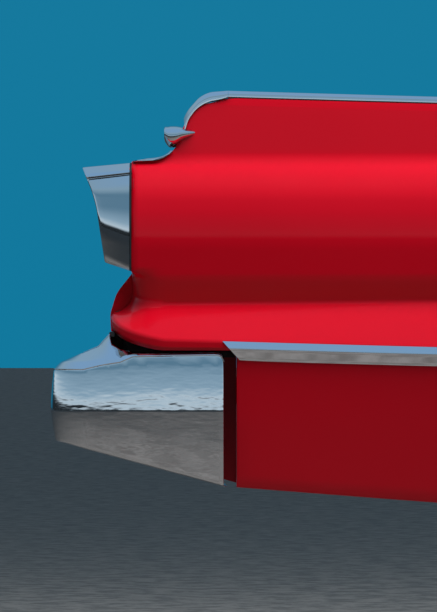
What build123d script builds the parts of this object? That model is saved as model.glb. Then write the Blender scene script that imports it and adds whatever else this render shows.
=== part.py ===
from build123d import *
import math
import os

# Right-hand rear wing of a 1950s saloon, with its tail lamp, bright mouldings and bumper end.
# x runs forward from the lamp face, y to the car's left from the plane where the wing meets the
# body, and z up from the top of the body's ledge. Every size is in millimetres.

# Sheet metal and the gaps between pieces
SHEET = 2.0
SEAT = 0.3
SMALLEST_R = 1.0
FOLD_R = 4.0
BIG = 2500.0

# The wing as a whole
CROWN_OUT = 150.0
DOOR_X = 1750.0
FRAME_X = 551.0

# Outline of the wing's side at three stations along the car
# x, crown z, waist z, waist out, ledge z, ledge out, sill z, sill out
SIDE_STATIONS = [
    (0.0, 385.5, 3.0, 56.0, -58.0, 121.0, -311.0, 97.0),
    (FRAME_X, 369.5, 9.0, 56.0, -74.0, 123.0, -355.0, 95.0),
    (DOOR_X, 342.0, 18.0, 65.0, -94.0, 124.0, -425.0, 90.0),
]

# Fin and side bulge: distance out from the fin's centre plane, height, radius
TOP_OUT = 3.0
BROW = (15.0, 16.0, 14.0)
COVE = (24.0, 265.0, 38.0)
SHOULDER = (64.0, 224.5, 70.0)
BELLY = (82.0, 140.0, 160.0)
TUCK = (74.0, 50.0, 60.0)
WAIST_R = 14.0
LEDGE_R = 10.0
FLANK = (112.0, -200.0, 300.0)
SILL_R = 4.0
SILL_FLANGE = 24.0

# Inner face of the fin, on the boot's side
INNER_COVE = (-24.0, 271.0, 38.0)
INNER_SHOULDER = (-60.0, 246.5, 40.0)
INNER_WALL = (-78.0, 224.0, 20.0)
INNER_FOOT_Z = 192.0

# Rear edge of the fin, seen from the side: x, z, radius
NOTCH = [
    (-120.0, 261.0, 0.0),
    (80.0, 264.0, 60.0),
    (98.0, 339.0, 40.0),
    (122.0, 371.5, 60.0),
    (175.0, 380.5, 0.0),
]
NOTCH_END_X = 175.0

# Tail corner, where the ledge wraps round below the lamp
CORNER_X = 60.0
CORNER_OUT = -2.0
LAMP_FOOT_Z = 62.0
LIP_DROP = 22.0
LIP_Z = -80.0
# angle, foot radius, tuck radius, tuck fillet, waist radius, waist z, waist fillet, ledge radius, ledge z
CORNER_STATIONS = [
    (20.0, 83.0, 77.0, 50.0, 58.5, 3.0, 20.0, 119.0, -51.0),
    (40.0, 90.0, 77.0, 40.0, 58.5, 2.0, 27.0, 112.5, -40.0),
    (60.0, 70.5, 67.0, 30.0, 58.0, 0.0, 34.0, 105.0, -27.0),
    (80.0, 61.0, 59.5, 20.0, 57.5, -2.0, 40.0, 100.0, -14.0),
]
TUCK_Z = 50.0

# Lower rear edge of the wing, in front of the bumper
BUMPER_FRONT_X = 167.0
RECESS_X = BUMPER_FRONT_X + 23.0
RECESS_DEPTH = 56.0

# Wheel opening
ARCH_X = 1194.0
ARCH_Z = -440.0
ARCH_R = 310.0
ARCH_LIP = 22.0
WHEELHOUSE_GAP = 6.0
HOUSE_REACH = 60.0
HOUSE_BRIM = 24.0
HOUSE_FOOT_UP = 12.0
HOUSE_SEAM = 6.0

# Deck gutter and the bolting plane
GUTTER_OUT = -80.3
GUTTER_FLOOR_Z = 186.0
GUTTER_LIP_Z = 206.0
GUTTER_LIP_OUT = -118.0
GUTTER_WALL = 28.0
FLANGE_FOOT_Z = 150.0

# Bolt holes in the body flanges
POST_X = 3.0
PILLAR_X = DOOR_X - 15.0
BODY_BOLT_R = 5.0
REAR_BOLT_X = POST_X + 23.0
FRONT_BOLT_X = PILLAR_X - 19.0
UPPER_BOLT_Z = 130.0
LOWER_BOLT_Z = -30.0
PILLAR_LOW_BOLTS_Z = (-170.0, -350.0)

# Tail lamp
GASKET_T = 2.7
GASKET_WIDE = 7.0
BEZEL_X = -SEAT - GASKET_T - SEAT
BEZEL_END_X = -95.0
LAMP_SHRINK = 0.8
LAMP_MIDDLE = (2.0, 217.5)
BEZEL_WALL = 5.0
LENS_BACK = 14.0
LENS_WALL = 5.0
BUCKET_INSET = 24.0
BUCKET_BRIM = 8.0
BUCKET_DEPTH = 64.0
SOCKET_R = 13.0
SOCKET_COLLAR_R = 18.0
SOCKET_OUT = 4.0
SOCKET_REACH = 22.0
SOCKET_SIDES = 16
SOCKETS_Z = {"upper": 195.0, "lower": 122.0}

# Outline of the lamp where it meets the wing: distance out, height, radius
LAMP_OUTLINE = [
    (-78.0, 64.0, 0.0),
    (-78.0, 224.0, 0.0),
    (-60.0, 246.5, 16.0),
    (-38.0, 260.5, 12.0),
    (20.0, 260.5, 14.0),
    (53.0, 244.5, 0.0),
    (70.0, 216.5, 30.0),
    (82.0, 140.0, 150.0),
    (76.0, 64.0, 0.0),
]

# Rear edge of the lamp's bezel, seen from the side: x, z, radius
VISOR = [(-95.5, 264.0, 0.0), (-66.0, 194.0, 200.0), (-44.0, 50.0, 0.0)]

# Fin ornament: two round lobes side by side, as x and radius
BULLET_Z = 309.5
BULLET_APART = 16.0
BULLET = [(59.0, 18.0), (80.0, 22.5), (100.0, 17.0), (118.0, 5.0)]
BULLET_DISH = 6.0
BULLET_DISH_R = 12.0

# Bright mouldings
CROWN_H = 11.5
CROWN_HALF = 17.0
CROWN_TOP = 10.0
CROWN_SIDE = 6.0
CROWN_FRONT_X = DOOR_X - 5.0
EDGE_GROWTH = 3.0
HORN = [(NOTCH_END_X, 392.0, 0.0), (136.0, 387.5, 50.0), (103.0, 353.0, 60.0), (91.0, 321.0, 0.0)]
BULLET_CLEAR = 24.0
HORN_FOOT_Z = BULLET_Z + BULLET_CLEAR
SWEEP = [(82.0, 295.5, 0.0), (64.0, 271.0, 60.0), (-2.0, 267.5, 0.0)]
SWEEP_SPARE = 20.0
SPEAR_STAND = 11.0
SPEAR_RIDGE = 13.0
SPEAR_H = 35.0
SPEAR_REAR_X = 164.0
SPEAR_MITRE = 32.0

# Tail panel below the boot lid, seen from the side: x, z, radius
TAIL_PANEL = [
    (0.7, 76.0, 0.0),
    (0.7, 60.0, 6.0),
    (-28.0, 24.0, 60.0),
    (-39.5, -14.0, 40.0),
    (-38.0, -46.0, 0.0),
]
TAIL_PANEL_END_Y = -CROWN_OUT - 5.0

# Bumper end
BUMPER_WALL = 3.0
BUMPER_CORNER_X = -86.0
BUMPER_R = 60.0
BUMPER_OUT = 130.0
BUMPER_INNER_Y = -12.0
BUMPER_CREASE_Z = -189.0
# x, top flange out, z, shoulder out, z, radius, foot out, z
BUMPER_SIDE = [
    (BUMPER_FRONT_X, -34.0, -80.0, -9.0, -84.0, 9.0, -17.0, -326.0),
    (4.0, -36.0, -82.2, -8.8, -86.5, 10.0, -11.5, -281.5),
    (-20.0, -44.0, -79.0, -7.9, -97.0, 17.0, -10.7, -275.0),
    (-36.0, -56.0, -68.0, -7.7, -99.0, 21.5, -10.1, -270.6),
    (-40.0, -60.5, -50.0, -7.7, -99.5, 22.7, -10.0, -269.5),
    (-60.0, -60.5, -72.0, -7.5, -101.0, 28.5, -9.3, -264.1),
    (BUMPER_CORNER_X, -60.5, -82.8, -7.2, -105.0, 36.0, -8.4, -257.0),
]
# Round the corner and across the rear: distance out, height, radius
BUMPER_CORNER_TOP = (-58.0, -83.8, 0.0)
BUMPER_BEND = (-86.0, -72.2, 16.0)
BUMPER_SHELF = (-106.0, -50.0, 0.0)
BUMPER_REAR_FOOT = (-6.6, -242.5, 0.0)
BUMPER_RETURN = 22.0
BUMPER_RETURN_UP = 4.0
BUMPER_FLANGE = 24.0
JOINT_BOLT_R = 5.5
JOINT_BOLT_IN = 14.0
JOINT_BOLTS_Z = (-150.0, -210.0)

# Bumper carriers
ARM_T = 10.0
ARM_TOP_Z = -130.0
ARM_FOOT_Z = -180.0
ARM_FRONT_X = 330.0
ARM_BOLTS_X = (200.0, 300.0)
ARM_BOLT_R = 6.5
ARM_Y = (-165.0, -100.0)
ARM_BEND_X = -30.0
BAR_T = 8.0
BAR_IN = 8.4
BAR_Y = (-200.0, -20.0)
BRACE_X = (100.0, 140.0)
BRACE_T = 3.0
BRACE_HALF = 10.0
BRACE_IN = 4.6

# Gravel pan behind the bumper
PAN_IN = 68.0
PAN_OUT = BUMPER_OUT - PAN_IN
PAN_FOOT = [(-10.0, -262.0), (RECESS_X, -320.0)]
PAN_TOP_Z = -82.0
PAN_SHELF = 22.0
PAN_SLOT = 4.0

# Inner rail
RAIL_Z = (20.0, 80.0)
RAIL_DEPTH = 36.0
RAIL_BRIM = 16.0

# Posts at the two ends of the wing
POST_TOP_Z = 256.0
POST_FOOT_Z = -50.0
PILLAR_TOP_DROP = 40.0
FLANGE_TOP_Z = 146.0
FLANGE_WIDE = 45.0
PILLAR_HOLES = [(-60.0, -110.0, 45.0), (-60.0, -260.0, 45.0)]
STRIKER_Y = (-205.0, -165.0)
STRIKER_Z = (30.0, 110.0)
STRIKER_T = 4.0
STRIKER_LOOP = (6.0, 10.0, 32.0)

# Looking at the car's right side
SIDE_VIEW = Plane(origin=(0, 0, 0), x_dir=(1, 0, 0), z_dir=(0, -1, 0))

# Origin of the finished part: the middle of the four body bolts
ORIGIN = ((REAR_BOLT_X + FRONT_BOLT_X) / 2, 0.0, (UPPER_BOLT_Z + LOWER_BOLT_Z) / 2)


def blend(rows, x):
    """The row of a table at x, in a straight line between the two rows beside it."""
    for low, high in zip(rows, rows[1:]):
        if x <= high[0] or high is rows[-1]:
            share = (x - low[0]) / (high[0] - low[0])
            return tuple(a + share * (b - a) for a, b in zip(low, high))


def unit(a, b):
    length = math.hypot(b[0] - a[0], b[1] - a[1])
    return ((b[0] - a[0]) / length, (b[1] - a[1]) / length)


def inset(points, distance, closed=False):
    """An outline moved to the right of its own direction, with its radii kept concentric."""
    moved = []
    for i, (a, b, radius) in enumerate(points):
        before = unit(points[i - 1], points[i]) if i or closed else unit(points[0], points[1])
        after = unit(points[i], points[(i + 1) % len(points)]) if i + 1 < len(points) or closed else before
        turn = before[0] * after[1] - before[1] * after[0]
        along = before[0] * after[0] + before[1] * after[1]
        reach = distance / (1 + along)
        right = (before[1] + after[1], -before[0] - after[0])
        grown = radius + distance * (1 if turn > 0 else -1) if radius else 0.0
        moved.append((a + right[0] * reach, b + right[1] * reach, grown if grown > SMALLEST_R else 0.0))
    return moved


def rounded(points, plane, closed=False):
    """Lines and tangent arcs through (a, b, radius) corners on a plane."""
    corners = points if not closed else [points[-1], *points, points[0]]
    places = [Vector(a, b) for a, b, _ in corners]
    edges = []
    joints = []
    for i in range(1, len(corners) - 1):
        before = (places[i] - places[i - 1]).normalized()
        after = (places[i + 1] - places[i]).normalized()
        radius = corners[i][2]
        turn = math.radians(before.get_angle(after))
        if radius <= 0 or turn < 1e-4:
            joints.append((places[i], None, places[i]))
            continue
        reach = radius * math.tan(turn / 2)
        bulge = radius * (1 / math.cos(turn / 2) - 1)
        middle = places[i] + (after - before).normalized() * bulge
        joints.append((places[i] - before * reach, middle, places[i] + after * reach))
    stops = joints if closed else [(places[0], None, places[0]), *joints, (places[-1], None, places[-1])]
    world = plane.from_local_coords
    for i, (start, middle, end) in enumerate(stops):
        if middle is not None:
            edges.append(ThreePointArc(world(start), world(middle), world(end)))
        following = stops[(i + 1) % len(stops)]
        if i + 1 < len(stops) or closed:
            edges.append(Line(world(end), world(following[0])))
    return edges


def side_plane(x):
    """The upright plane across the car at x: out from the fin's centre plane, and up."""
    return Plane(origin=(x, -CROWN_OUT, 0), x_dir=(0, -1, 0), z_dir=(-1, 0, 0))


def turned_plane(x, y, angle):
    """The upright plane through the upright line at x, y: out in the direction of angle, and up."""
    s, c = math.sin(math.radians(angle)), math.cos(math.radians(angle))
    return Plane(origin=(x, y, 0), x_dir=(-s, -c, 0), z_dir=(-c, s, 0))


def strip(points, thickness, plane):
    """The closed section of a sheet whose outer face follows the points."""
    outer = rounded(points, plane)
    inner = rounded(inset(points, thickness), plane)
    caps = [Line(outer[0] @ 0, inner[0] @ 0), Line(outer[-1] @ 1, inner[-1] @ 1)]
    return make_face(Wire.combine([*outer, *inner, *caps])[0])


def area(points, plane):
    """The face inside a closed outline."""
    return make_face(Wire.combine(rounded(points, plane, closed=True))[0])


def backward(face, length):
    """A face drawn out towards the car's rear."""
    return extrude(face, length, dir=(-1, 0, 0))


def inboard(face, length):
    """A face drawn out towards the car's middle."""
    return extrude(face, length, dir=(0, 1, 0))


def upward(face, length):
    """A face drawn out upwards."""
    return extrude(face, length, dir=(0, 0, 1))


def slab(x0, x1, y0, y1, z0, z1):
    """A box between two corners."""
    return Pos((x0 + x1) / 2, (y0 + y1) / 2, (z0 + z1) / 2) * Box(abs(x1 - x0), abs(y1 - y0), abs(z1 - z0))


def side_points(x):
    """The outer face of the wing's side at x, from the crown down to the sill's flange."""
    _, crown, waist_z, waist, ledge_z, ledge, sill_z, sill = blend(SIDE_STATIONS, x)
    return [
        (TOP_OUT, crown, 0.0),
        (BROW[0], crown - BROW[1], BROW[2]),
        COVE,
        SHOULDER,
        BELLY,
        TUCK,
        (waist, waist_z, WAIST_R),
        (ledge, ledge_z, LEDGE_R),
        FLANK,
        (sill, sill_z, SILL_R),
        (sill - SILL_FLANGE, sill_z, 0.0),
    ]


def inner_points(x):
    """The boot side of the fin at x, from the crown down to the gutter."""
    crown = blend(SIDE_STATIONS, x)[1]
    return [
        (-TOP_OUT, crown, 0.0),
        (-BROW[0], crown - BROW[1], BROW[2]),
        INNER_COVE,
        INNER_SHOULDER,
        INNER_WALL,
        (INNER_WALL[0], INNER_FOOT_Z, 0.0),
    ]


def station_xs(x0=0.0, x1=DOOR_X):
    """The ends of a stretch of the wing and the stations between them."""
    return [x0, *[x for x in (CORNER_X, FRAME_X) if x0 < x < x1], x1]


def side_sheet(thickness, x0=0.0, x1=DOOR_X):
    """The wing's side as a sheet of some thickness."""
    return loft([strip(side_points(x), thickness, side_plane(x)) for x in station_xs(x0, x1)], ruled=True)


def hollow_points(x, gap):
    """The closed outline of the space inside the wing at x, some way in from its outer faces."""
    outer = inset(side_points(x), gap)
    inner = inset(inner_points(x), -gap)
    foot_z = outer[-1][1]
    ceiling_z = GUTTER_FLOOR_Z - SHEET - SEAT
    wall = [(-CROWN_OUT + gap, foot_z, 0.0), (-CROWN_OUT + gap, ceiling_z, 0.0), (inner[-1][0], ceiling_z, 0.0)]
    return [*outer[:-1], *wall, *reversed(inner)]


def hollow(x0, x1):
    """The space inside the wing between two stations, clear of its skins."""
    gap = SHEET + SEAT
    return loft([area(hollow_points(x, gap), side_plane(x)) for x in station_xs(x0, x1)], ruled=True)


def side_cut(points):
    """A cut straight across the car, with the outline seen from the side."""
    return extrude(area(points, SIDE_VIEW), BIG, both=True)


def above_notch(gap=0.0):
    """Everything above and behind the fin's rear edge."""
    rows = [(a, b + gap, r) for a, b, r in NOTCH]
    return side_cut([*rows, (NOTCH_END_X, BIG, 0.0), (NOTCH[0][0], BIG, 0.0)])


def bolt_hole(x, z, radius):
    """A hole through a flange at the body's side."""
    return Pos(x, 0, z) * Rot(X=90) * Cylinder(radius, FLANGE_WIDE)


def corner_points(row):
    """The outer face of the tail corner at one angle round it."""
    _, foot_r, tuck_r, tuck_fillet, waist_r, waist_z, waist_fillet, ledge_r, ledge_z = row
    return [
        (foot_r, LAMP_FOOT_Z, 0.0),
        (tuck_r, TUCK_Z, tuck_fillet),
        (waist_r, waist_z, waist_fillet),
        (ledge_r, ledge_z, LEDGE_R),
        (ledge_r - 2.0, ledge_z - LIP_DROP, 0.0),
    ]


def at_height(a, b, z):
    """The point at height z on the line from a to b."""
    share = (z - a[1]) / (b[1] - a[1])
    return (a[0] + share * (b[0] - a[0]), z, 0.0)


def corner_start_points():
    """The side's own outline where the corner begins, measured from the corner's axis."""
    side = side_points(CORNER_X)
    belly, tuck, waist, ledge, flank = side[4:9]
    points = [at_height(belly, tuck, LAMP_FOOT_Z), tuck, waist, ledge, at_height(ledge, flank, LIP_Z)]
    return [(out - CORNER_OUT, z, radius) for out, z, radius in points]


def tail_corner():
    """The part of the side sheet that wraps round below the lamp, with the ledge rising behind."""
    y = -CROWN_OUT - CORNER_OUT
    sections = [(0.0, corner_start_points()), *[(row[0], corner_points(row)) for row in CORNER_STATIONS]]
    return loft([strip(points, SHEET, turned_plane(CORNER_X, y, angle)) for angle, points in sections], ruled=True)


def wing_skin():
    """The outer wing: side sheet, tail corner, arch lip and hems, in one pressing."""
    thick = side_sheet(ARCH_LIP)
    skin = side_sheet(SHEET) - above_notch()
    skin -= slab(-1, RECESS_X, -BIG, 0, -BIG, LIP_Z)
    skin -= slab(-1, CORNER_X, -BIG, 0, -BIG, LAMP_FOOT_Z)
    arch = Pos(ARCH_X, -CROWN_OUT, ARCH_Z) * Rot(X=90) * Cylinder(ARCH_R, BIG)
    ring = Pos(ARCH_X, -CROWN_OUT, ARCH_Z) * Rot(X=90) * (Cylinder(ARCH_R + SHEET, BIG) - Cylinder(ARCH_R, BIG))
    skin -= arch
    skin += thick & ring
    skin += thick & slab(DOOR_X - SHEET, DOOR_X, -BIG, 0, -BIG, FLANGE_FOOT_Z)
    recess = side_sheet(RECESS_DEPTH, RECESS_X, RECESS_X + SHEET)
    skin += recess & slab(RECESS_X, RECESS_X + SHEET, -BIG, 0, -BIG, LIP_Z)
    return skin + tail_corner()


def fin_inner():
    """The fin's boot side, from the crown down to the gutter."""
    faces = [strip(inner_points(x), -SHEET, side_plane(x)) for x in station_xs()]
    return loft(faces, ruled=True) - above_notch()


def deck_gutter():
    """The rain channel beside the boot lid, with the upper body flange."""
    wall = GUTTER_OUT
    points = [
        (wall, GUTTER_FLOOR_Z + GUTTER_WALL, 0.0),
        (wall, GUTTER_FLOOR_Z, FOLD_R),
        (GUTTER_LIP_OUT, GUTTER_FLOOR_Z, FOLD_R),
        (GUTTER_LIP_OUT, GUTTER_LIP_Z, FOLD_R),
        (-CROWN_OUT, GUTTER_LIP_Z, FOLD_R),
        (-CROWN_OUT, FLANGE_FOOT_Z, 0.0),
    ]
    section = strip(points, -SHEET, side_plane(PILLAR_X - SEAT))
    return backward(section, PILLAR_X - SEAT - POST_X - SHEET - SEAT)


def tail_post():
    """The upright behind the lamp, with its opening and its bolted flange."""
    front = POST_X + SHEET
    post = backward(area(hollow_points(front, SHEET + SEAT), side_plane(front)), SHEET)
    post &= slab(-BIG, BIG, -BIG, BIG, POST_FOOT_Z, POST_TOP_Z)
    post -= slab(0, front, -BIG, -CROWN_OUT + 4, -BIG, LAMP_FOOT_Z + 2)
    post += slab(POST_X, front, -10, 0, POST_FOOT_Z, FLANGE_TOP_Z)
    post += slab(POST_X, POST_X + FLANGE_WIDE, -SHEET, 0, POST_FOOT_Z, FLANGE_TOP_Z)
    opening = area(inset(LAMP_OUTLINE, BUCKET_INSET - 0.5, closed=True), side_plane(FLANGE_WIDE))
    post -= backward(opening, BIG)
    for z in (UPPER_BOLT_Z, LOWER_BOLT_Z):
        post -= bolt_hole(REAR_BOLT_X, z, BODY_BOLT_R)
    return post


def lock_pillar():
    """The door-lock upright at the front, with its bolted flange."""
    front = PILLAR_X + SHEET
    pillar = backward(area(hollow_points(front, SHEET + SEAT), side_plane(front)), SHEET)
    top = blend(SIDE_STATIONS, PILLAR_X)[1] - PILLAR_TOP_DROP
    foot = blend(SIDE_STATIONS, PILLAR_X)[6] + 10.0
    pillar &= slab(-BIG, BIG, -BIG, BIG, -BIG, top)
    pillar += slab(PILLAR_X, front, -10, 0, foot, FLANGE_TOP_Z)
    pillar += slab(front - FLANGE_WIDE, front, -SHEET, 0, foot, FLANGE_TOP_Z)
    for out, z, radius in PILLAR_HOLES:
        pillar -= Pos(PILLAR_X, -CROWN_OUT - out, z) * Rot(Y=90) * Cylinder(radius, 10)
    for z in (UPPER_BOLT_Z, LOWER_BOLT_Z, *PILLAR_LOW_BOLTS_Z):
        pillar -= bolt_hole(FRONT_BOLT_X, z, BODY_BOLT_R)
    return pillar


def striker_plate():
    """The plate and loop the door's lock closes on."""
    front = PILLAR_X + SHEET + SEAT
    (y0, y1), (z0, z1) = STRIKER_Y, STRIKER_Z
    plate = slab(front, front + STRIKER_T, y0, y1, z0, z1)
    middle_y, middle_z = (y0 + y1) / 2, (z0 + z1) / 2
    reach, wide, high = STRIKER_LOOP
    loop = Pos(front + STRIKER_T + reach / 2, middle_y, middle_z) * Box(reach, wide, high)
    return plate + loop


def wheelhouse():
    """The inner arch over the wheel, from the skin to the body."""
    x0, x1 = ARCH_X - ARCH_R - HOUSE_REACH, ARCH_X + ARCH_R + HOUSE_REACH
    inner_r = ARCH_R + WHEELHOUSE_GAP
    middle = Pos(ARCH_X, -CROWN_OUT, ARCH_Z) * Rot(X=90)
    house = (middle * (Cylinder(inner_r + SHEET, BIG) - Cylinder(inner_r, BIG))) & hollow(x0, x1)
    brim = Cylinder(inner_r + HOUSE_BRIM, SHEET) - Cylinder(inner_r, SHEET)
    foot = blend(SIDE_STATIONS, ARCH_X)[6] + HOUSE_FOOT_UP
    house += Pos(ARCH_X, -SHEET / 2, ARCH_Z) * Rot(X=90) * brim & slab(-BIG, BIG, -BIG, BIG, foot, BIG)
    return house + ((middle * (Cylinder(inner_r + SHEET, BIG) - Cylinder(inner_r, BIG))) & slab(x0, x1, -HOUSE_SEAM, 0, foot, 0))


def inner_rail():
    """The hat-shaped rail between the two posts."""
    (z0, z1), far = RAIL_Z, -CROWN_OUT + SHEET + SEAT
    points = [
        (far, z0 - RAIL_BRIM, 0.0),
        (far, z0, 3.0),
        (far + RAIL_DEPTH, z0, 3.0),
        (far + RAIL_DEPTH, z1, 3.0),
        (far, z1, 3.0),
        (far, z1 + RAIL_BRIM, 0.0),
    ]
    section = strip(points, SHEET, side_plane(PILLAR_X - SEAT))
    return backward(section, PILLAR_X - SEAT - POST_X - SHEET - SEAT)


def gravel_pan():
    """The recessed panel behind the bumper, round the corner to the body."""
    front, axis_y = RECESS_X - SEAT, -CROWN_OUT - CORNER_OUT
    radius = PAN_OUT - CORNER_OUT
    side, rear = -CROWN_OUT - PAN_OUT, CORNER_X - radius
    path = [(front, side, 0.0), (rear, side, radius), (rear, -SHEET, 0.0)]
    (rear_x, rear_z), (front_x, front_z) = PAN_FOOT
    plan = Plane(origin=(0, 0, front_z), x_dir=(1, 0, 0), z_dir=(0, 0, 1))
    pan = upward(strip(path, SHEET, plan), PAN_TOP_Z - front_z)
    shelf = Pos(0, 0, PAN_TOP_Z - front_z - SHEET) * strip(inset(path, -PAN_SHELF), PAN_SHELF, plan)
    pan += upward(shelf, SHEET)
    pan -= side_cut([(-BIG, rear_z, 0.0), (rear_x, rear_z, 0.0), (front_x, front_z, 0.0), (-BIG, front_z - SHEET, 0.0)])
    slot = (ARM_FOOT_Z - PAN_SLOT, ARM_TOP_Z + PAN_SLOT)
    return pan - slab(rear - 40, rear + 10, -ARM_T - PAN_SLOT, 0, *slot)


def tail_panel():
    """The rolled panel below the boot lid, closed at its outer end."""
    shut = [*TAIL_PANEL, (POST_X - SEAT, TAIL_PANEL[-1][1], 0.0), (POST_X - SEAT, TAIL_PANEL[0][1], 0.0)]
    whole = inboard(Pos(0, TAIL_PANEL_END_Y, 0) * area(shut, SIDE_VIEW), -TAIL_PANEL_END_Y - SHEET)
    inner = inset(TAIL_PANEL, -SHEET)
    void = [*inner, (BIG, inner[-1][1] - SHEET, 0.0), (BIG, inner[0][1] + SHEET, 0.0)]
    return whole - inboard(Pos(0, TAIL_PANEL_END_Y + SHEET, 0) * area(void, SIDE_VIEW), BIG)


def lamp_form(gap):
    """The lamp's tapering body, some way in from its outer face."""
    near = inset(LAMP_OUTLINE, gap, closed=True)
    (out, z), share = LAMP_MIDDLE, LAMP_SHRINK
    far = [(out + share * (a - out), z + share * (b - z), share * radius) for a, b, radius in near]
    return loft([area(near, side_plane(BEZEL_X)), area(far, side_plane(BEZEL_END_X))], ruled=True)


def behind_visor():
    """Everything behind the lamp's rear edge."""
    return side_cut([*VISOR, (-BIG, VISOR[-1][1], 0.0), (-BIG, VISOR[0][1], 0.0)])


def lamp_bezel():
    """The bright hood round the tail lamp."""
    return lamp_form(0.0) - lamp_form(BEZEL_WALL) - behind_visor()


def lamp_gasket():
    """The rubber joint between the hood and the wing."""
    outer = area(LAMP_OUTLINE, side_plane(-SEAT))
    inner = area(inset(LAMP_OUTLINE, GASKET_WIDE, closed=True), side_plane(-SEAT))
    return backward(outer - inner, GASKET_T)


def lamp_lens():
    """The red glass, set back inside the hood."""
    rear = [(a + LENS_BACK, b, r) for a, b, r in VISOR]
    front = inset(rear, -LENS_WALL)
    return lamp_form(BEZEL_WALL + SEAT) & side_cut([*rear, *reversed(front)])


def lamp_bucket():
    """The cup behind the glass, through the opening in the tail post."""
    brim_x = POST_X - SEAT
    outline = inset(LAMP_OUTLINE, BUCKET_INSET, closed=True)
    cup = backward(area(outline, side_plane(BUCKET_DEPTH)), BUCKET_DEPTH - brim_x + SHEET)
    brim = area(inset(outline, -BUCKET_BRIM, closed=True), side_plane(brim_x))
    cup += backward(brim, SHEET)
    cup -= backward(area(inset(outline, SHEET, closed=True), side_plane(BUCKET_DEPTH - SHEET)), BIG)
    for z in SOCKETS_Z.values():
        cup -= Pos(BUCKET_DEPTH, -CROWN_OUT - SOCKET_OUT, z) * Rot(Y=90) * Cylinder(SOCKET_R + SEAT, 20)
    return cup


def bulb_socket(z):
    """A bulb holder pushed through the back of the cup."""
    axis = Pos(BUCKET_DEPTH, -CROWN_OUT - SOCKET_OUT, z) * Rot(Y=90)
    body = extrude(axis * RegularPolygon(SOCKET_R, SOCKET_SIDES), SOCKET_REACH, both=True)
    collar = extrude(axis * Pos(0, 0, SEAT) * RegularPolygon(SOCKET_COLLAR_R, SOCKET_SIDES), 3.0, dir=(1, 0, 0))
    return body + collar


def fin_edge_form():
    """The fin's own shape grown for its edge mouldings, and open upwards."""
    faces = []
    for x in (-20.0, NOTCH_END_X + 40.0):
        outer = inset(side_points(max(x, 0.0)), -EDGE_GROWTH)
        inner = inset(inner_points(max(x, 0.0)), EDGE_GROWTH)
        right = [(CROWN_HALF, BIG, 0.0), (CROWN_HALF, outer[1][1], 0.0), (*outer[2][:2], 0.0), (*outer[3][:2], 0.0)]
        left = [(*inner[3][:2], 0.0), (*inner[2][:2], 0.0), (-CROWN_HALF, inner[1][1], 0.0), (-CROWN_HALF, BIG, 0.0)]
        faces.append(area([*right, *left], side_plane(x)))
    return loft(faces, ruled=True)


def crown_moulding_tail():
    """The bright horn over the top of the fin's rear edge."""
    rows = [(a, b, r) for a, b, r in HORN]
    ribbon = side_cut([*rows, (NOTCH_END_X, HORN[-1][1], 0.0)]) & above_notch(SEAT)
    ribbon &= slab(-BIG, NOTCH_END_X - SEAT, -BIG, BIG, HORN_FOOT_Z, BIG)
    return fin_edge_form() & ribbon


def crown_moulding_lower():
    """The bright sweep from the ornament back to the lamp."""
    (front, high, _), (rear, _, _) = SWEEP[0], SWEEP[-1]
    ahead = front + SWEEP_SPARE
    low = high - CROWN_OUT
    ribbon = side_cut([*SWEEP, (rear, low, 0.0), (ahead, low, 0.0), (ahead, high, 0.0)]) & above_notch(SEAT)
    ribbon &= slab(0.0, BIG, -BIG, BIG, -BIG, BULLET_Z - BULLET_CLEAR)
    return fin_edge_form() & ribbon


def crown_moulding_front():
    """The bright strip along the top of the fin."""
    faces = []
    for x in station_xs(NOTCH_END_X + SEAT, CROWN_FRONT_X):
        z = blend(SIDE_STATIONS, x)[1] + SEAT
        top = z + CROWN_H
        points = [
            (-CROWN_HALF, z, 1.0),
            (-CROWN_HALF, z + CROWN_SIDE, FOLD_R),
            (-CROWN_TOP, top, FOLD_R),
            (CROWN_TOP, top, FOLD_R),
            (CROWN_HALF, z + CROWN_SIDE, FOLD_R),
            (CROWN_HALF, z, 1.0),
        ]
        faces.append(area(points, side_plane(x)))
    return loft(faces, ruled=True)


def slot_area(x, radius):
    """A flat face across the fin at x, with two round ends."""
    return side_plane(x) * Pos(0, BULLET_Z) * SlotOverall(2 * (BULLET_APART + radius), 2 * radius)


def fin_bullet():
    """The pointed ornament set across the fin's rear edge."""
    bullet = loft([slot_area(x, radius) for x, radius in BULLET], ruled=True)
    bullet -= backward(slot_area(BULLET[0][0] + BULLET_DISH, BULLET_DISH_R), BULLET_DISH + SHEET)
    fin = loft([area(fin_solid_points(x), side_plane(x)) for x in (0.0, 300.0)], ruled=True)
    return bullet - (fin - above_notch(SEAT))


def fin_solid_points(x):
    """The fin's outer faces with a seat all round, as one closed outline."""
    outer = inset(side_points(x), -SEAT)
    inner = inset(inner_points(x), SEAT)
    right = [outer[0], outer[1], outer[2], (*outer[3][:2], 0.0)]
    return [*right, (inner[3][0], inner[3][1], 0.0), *reversed(inner[:3])]


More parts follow.
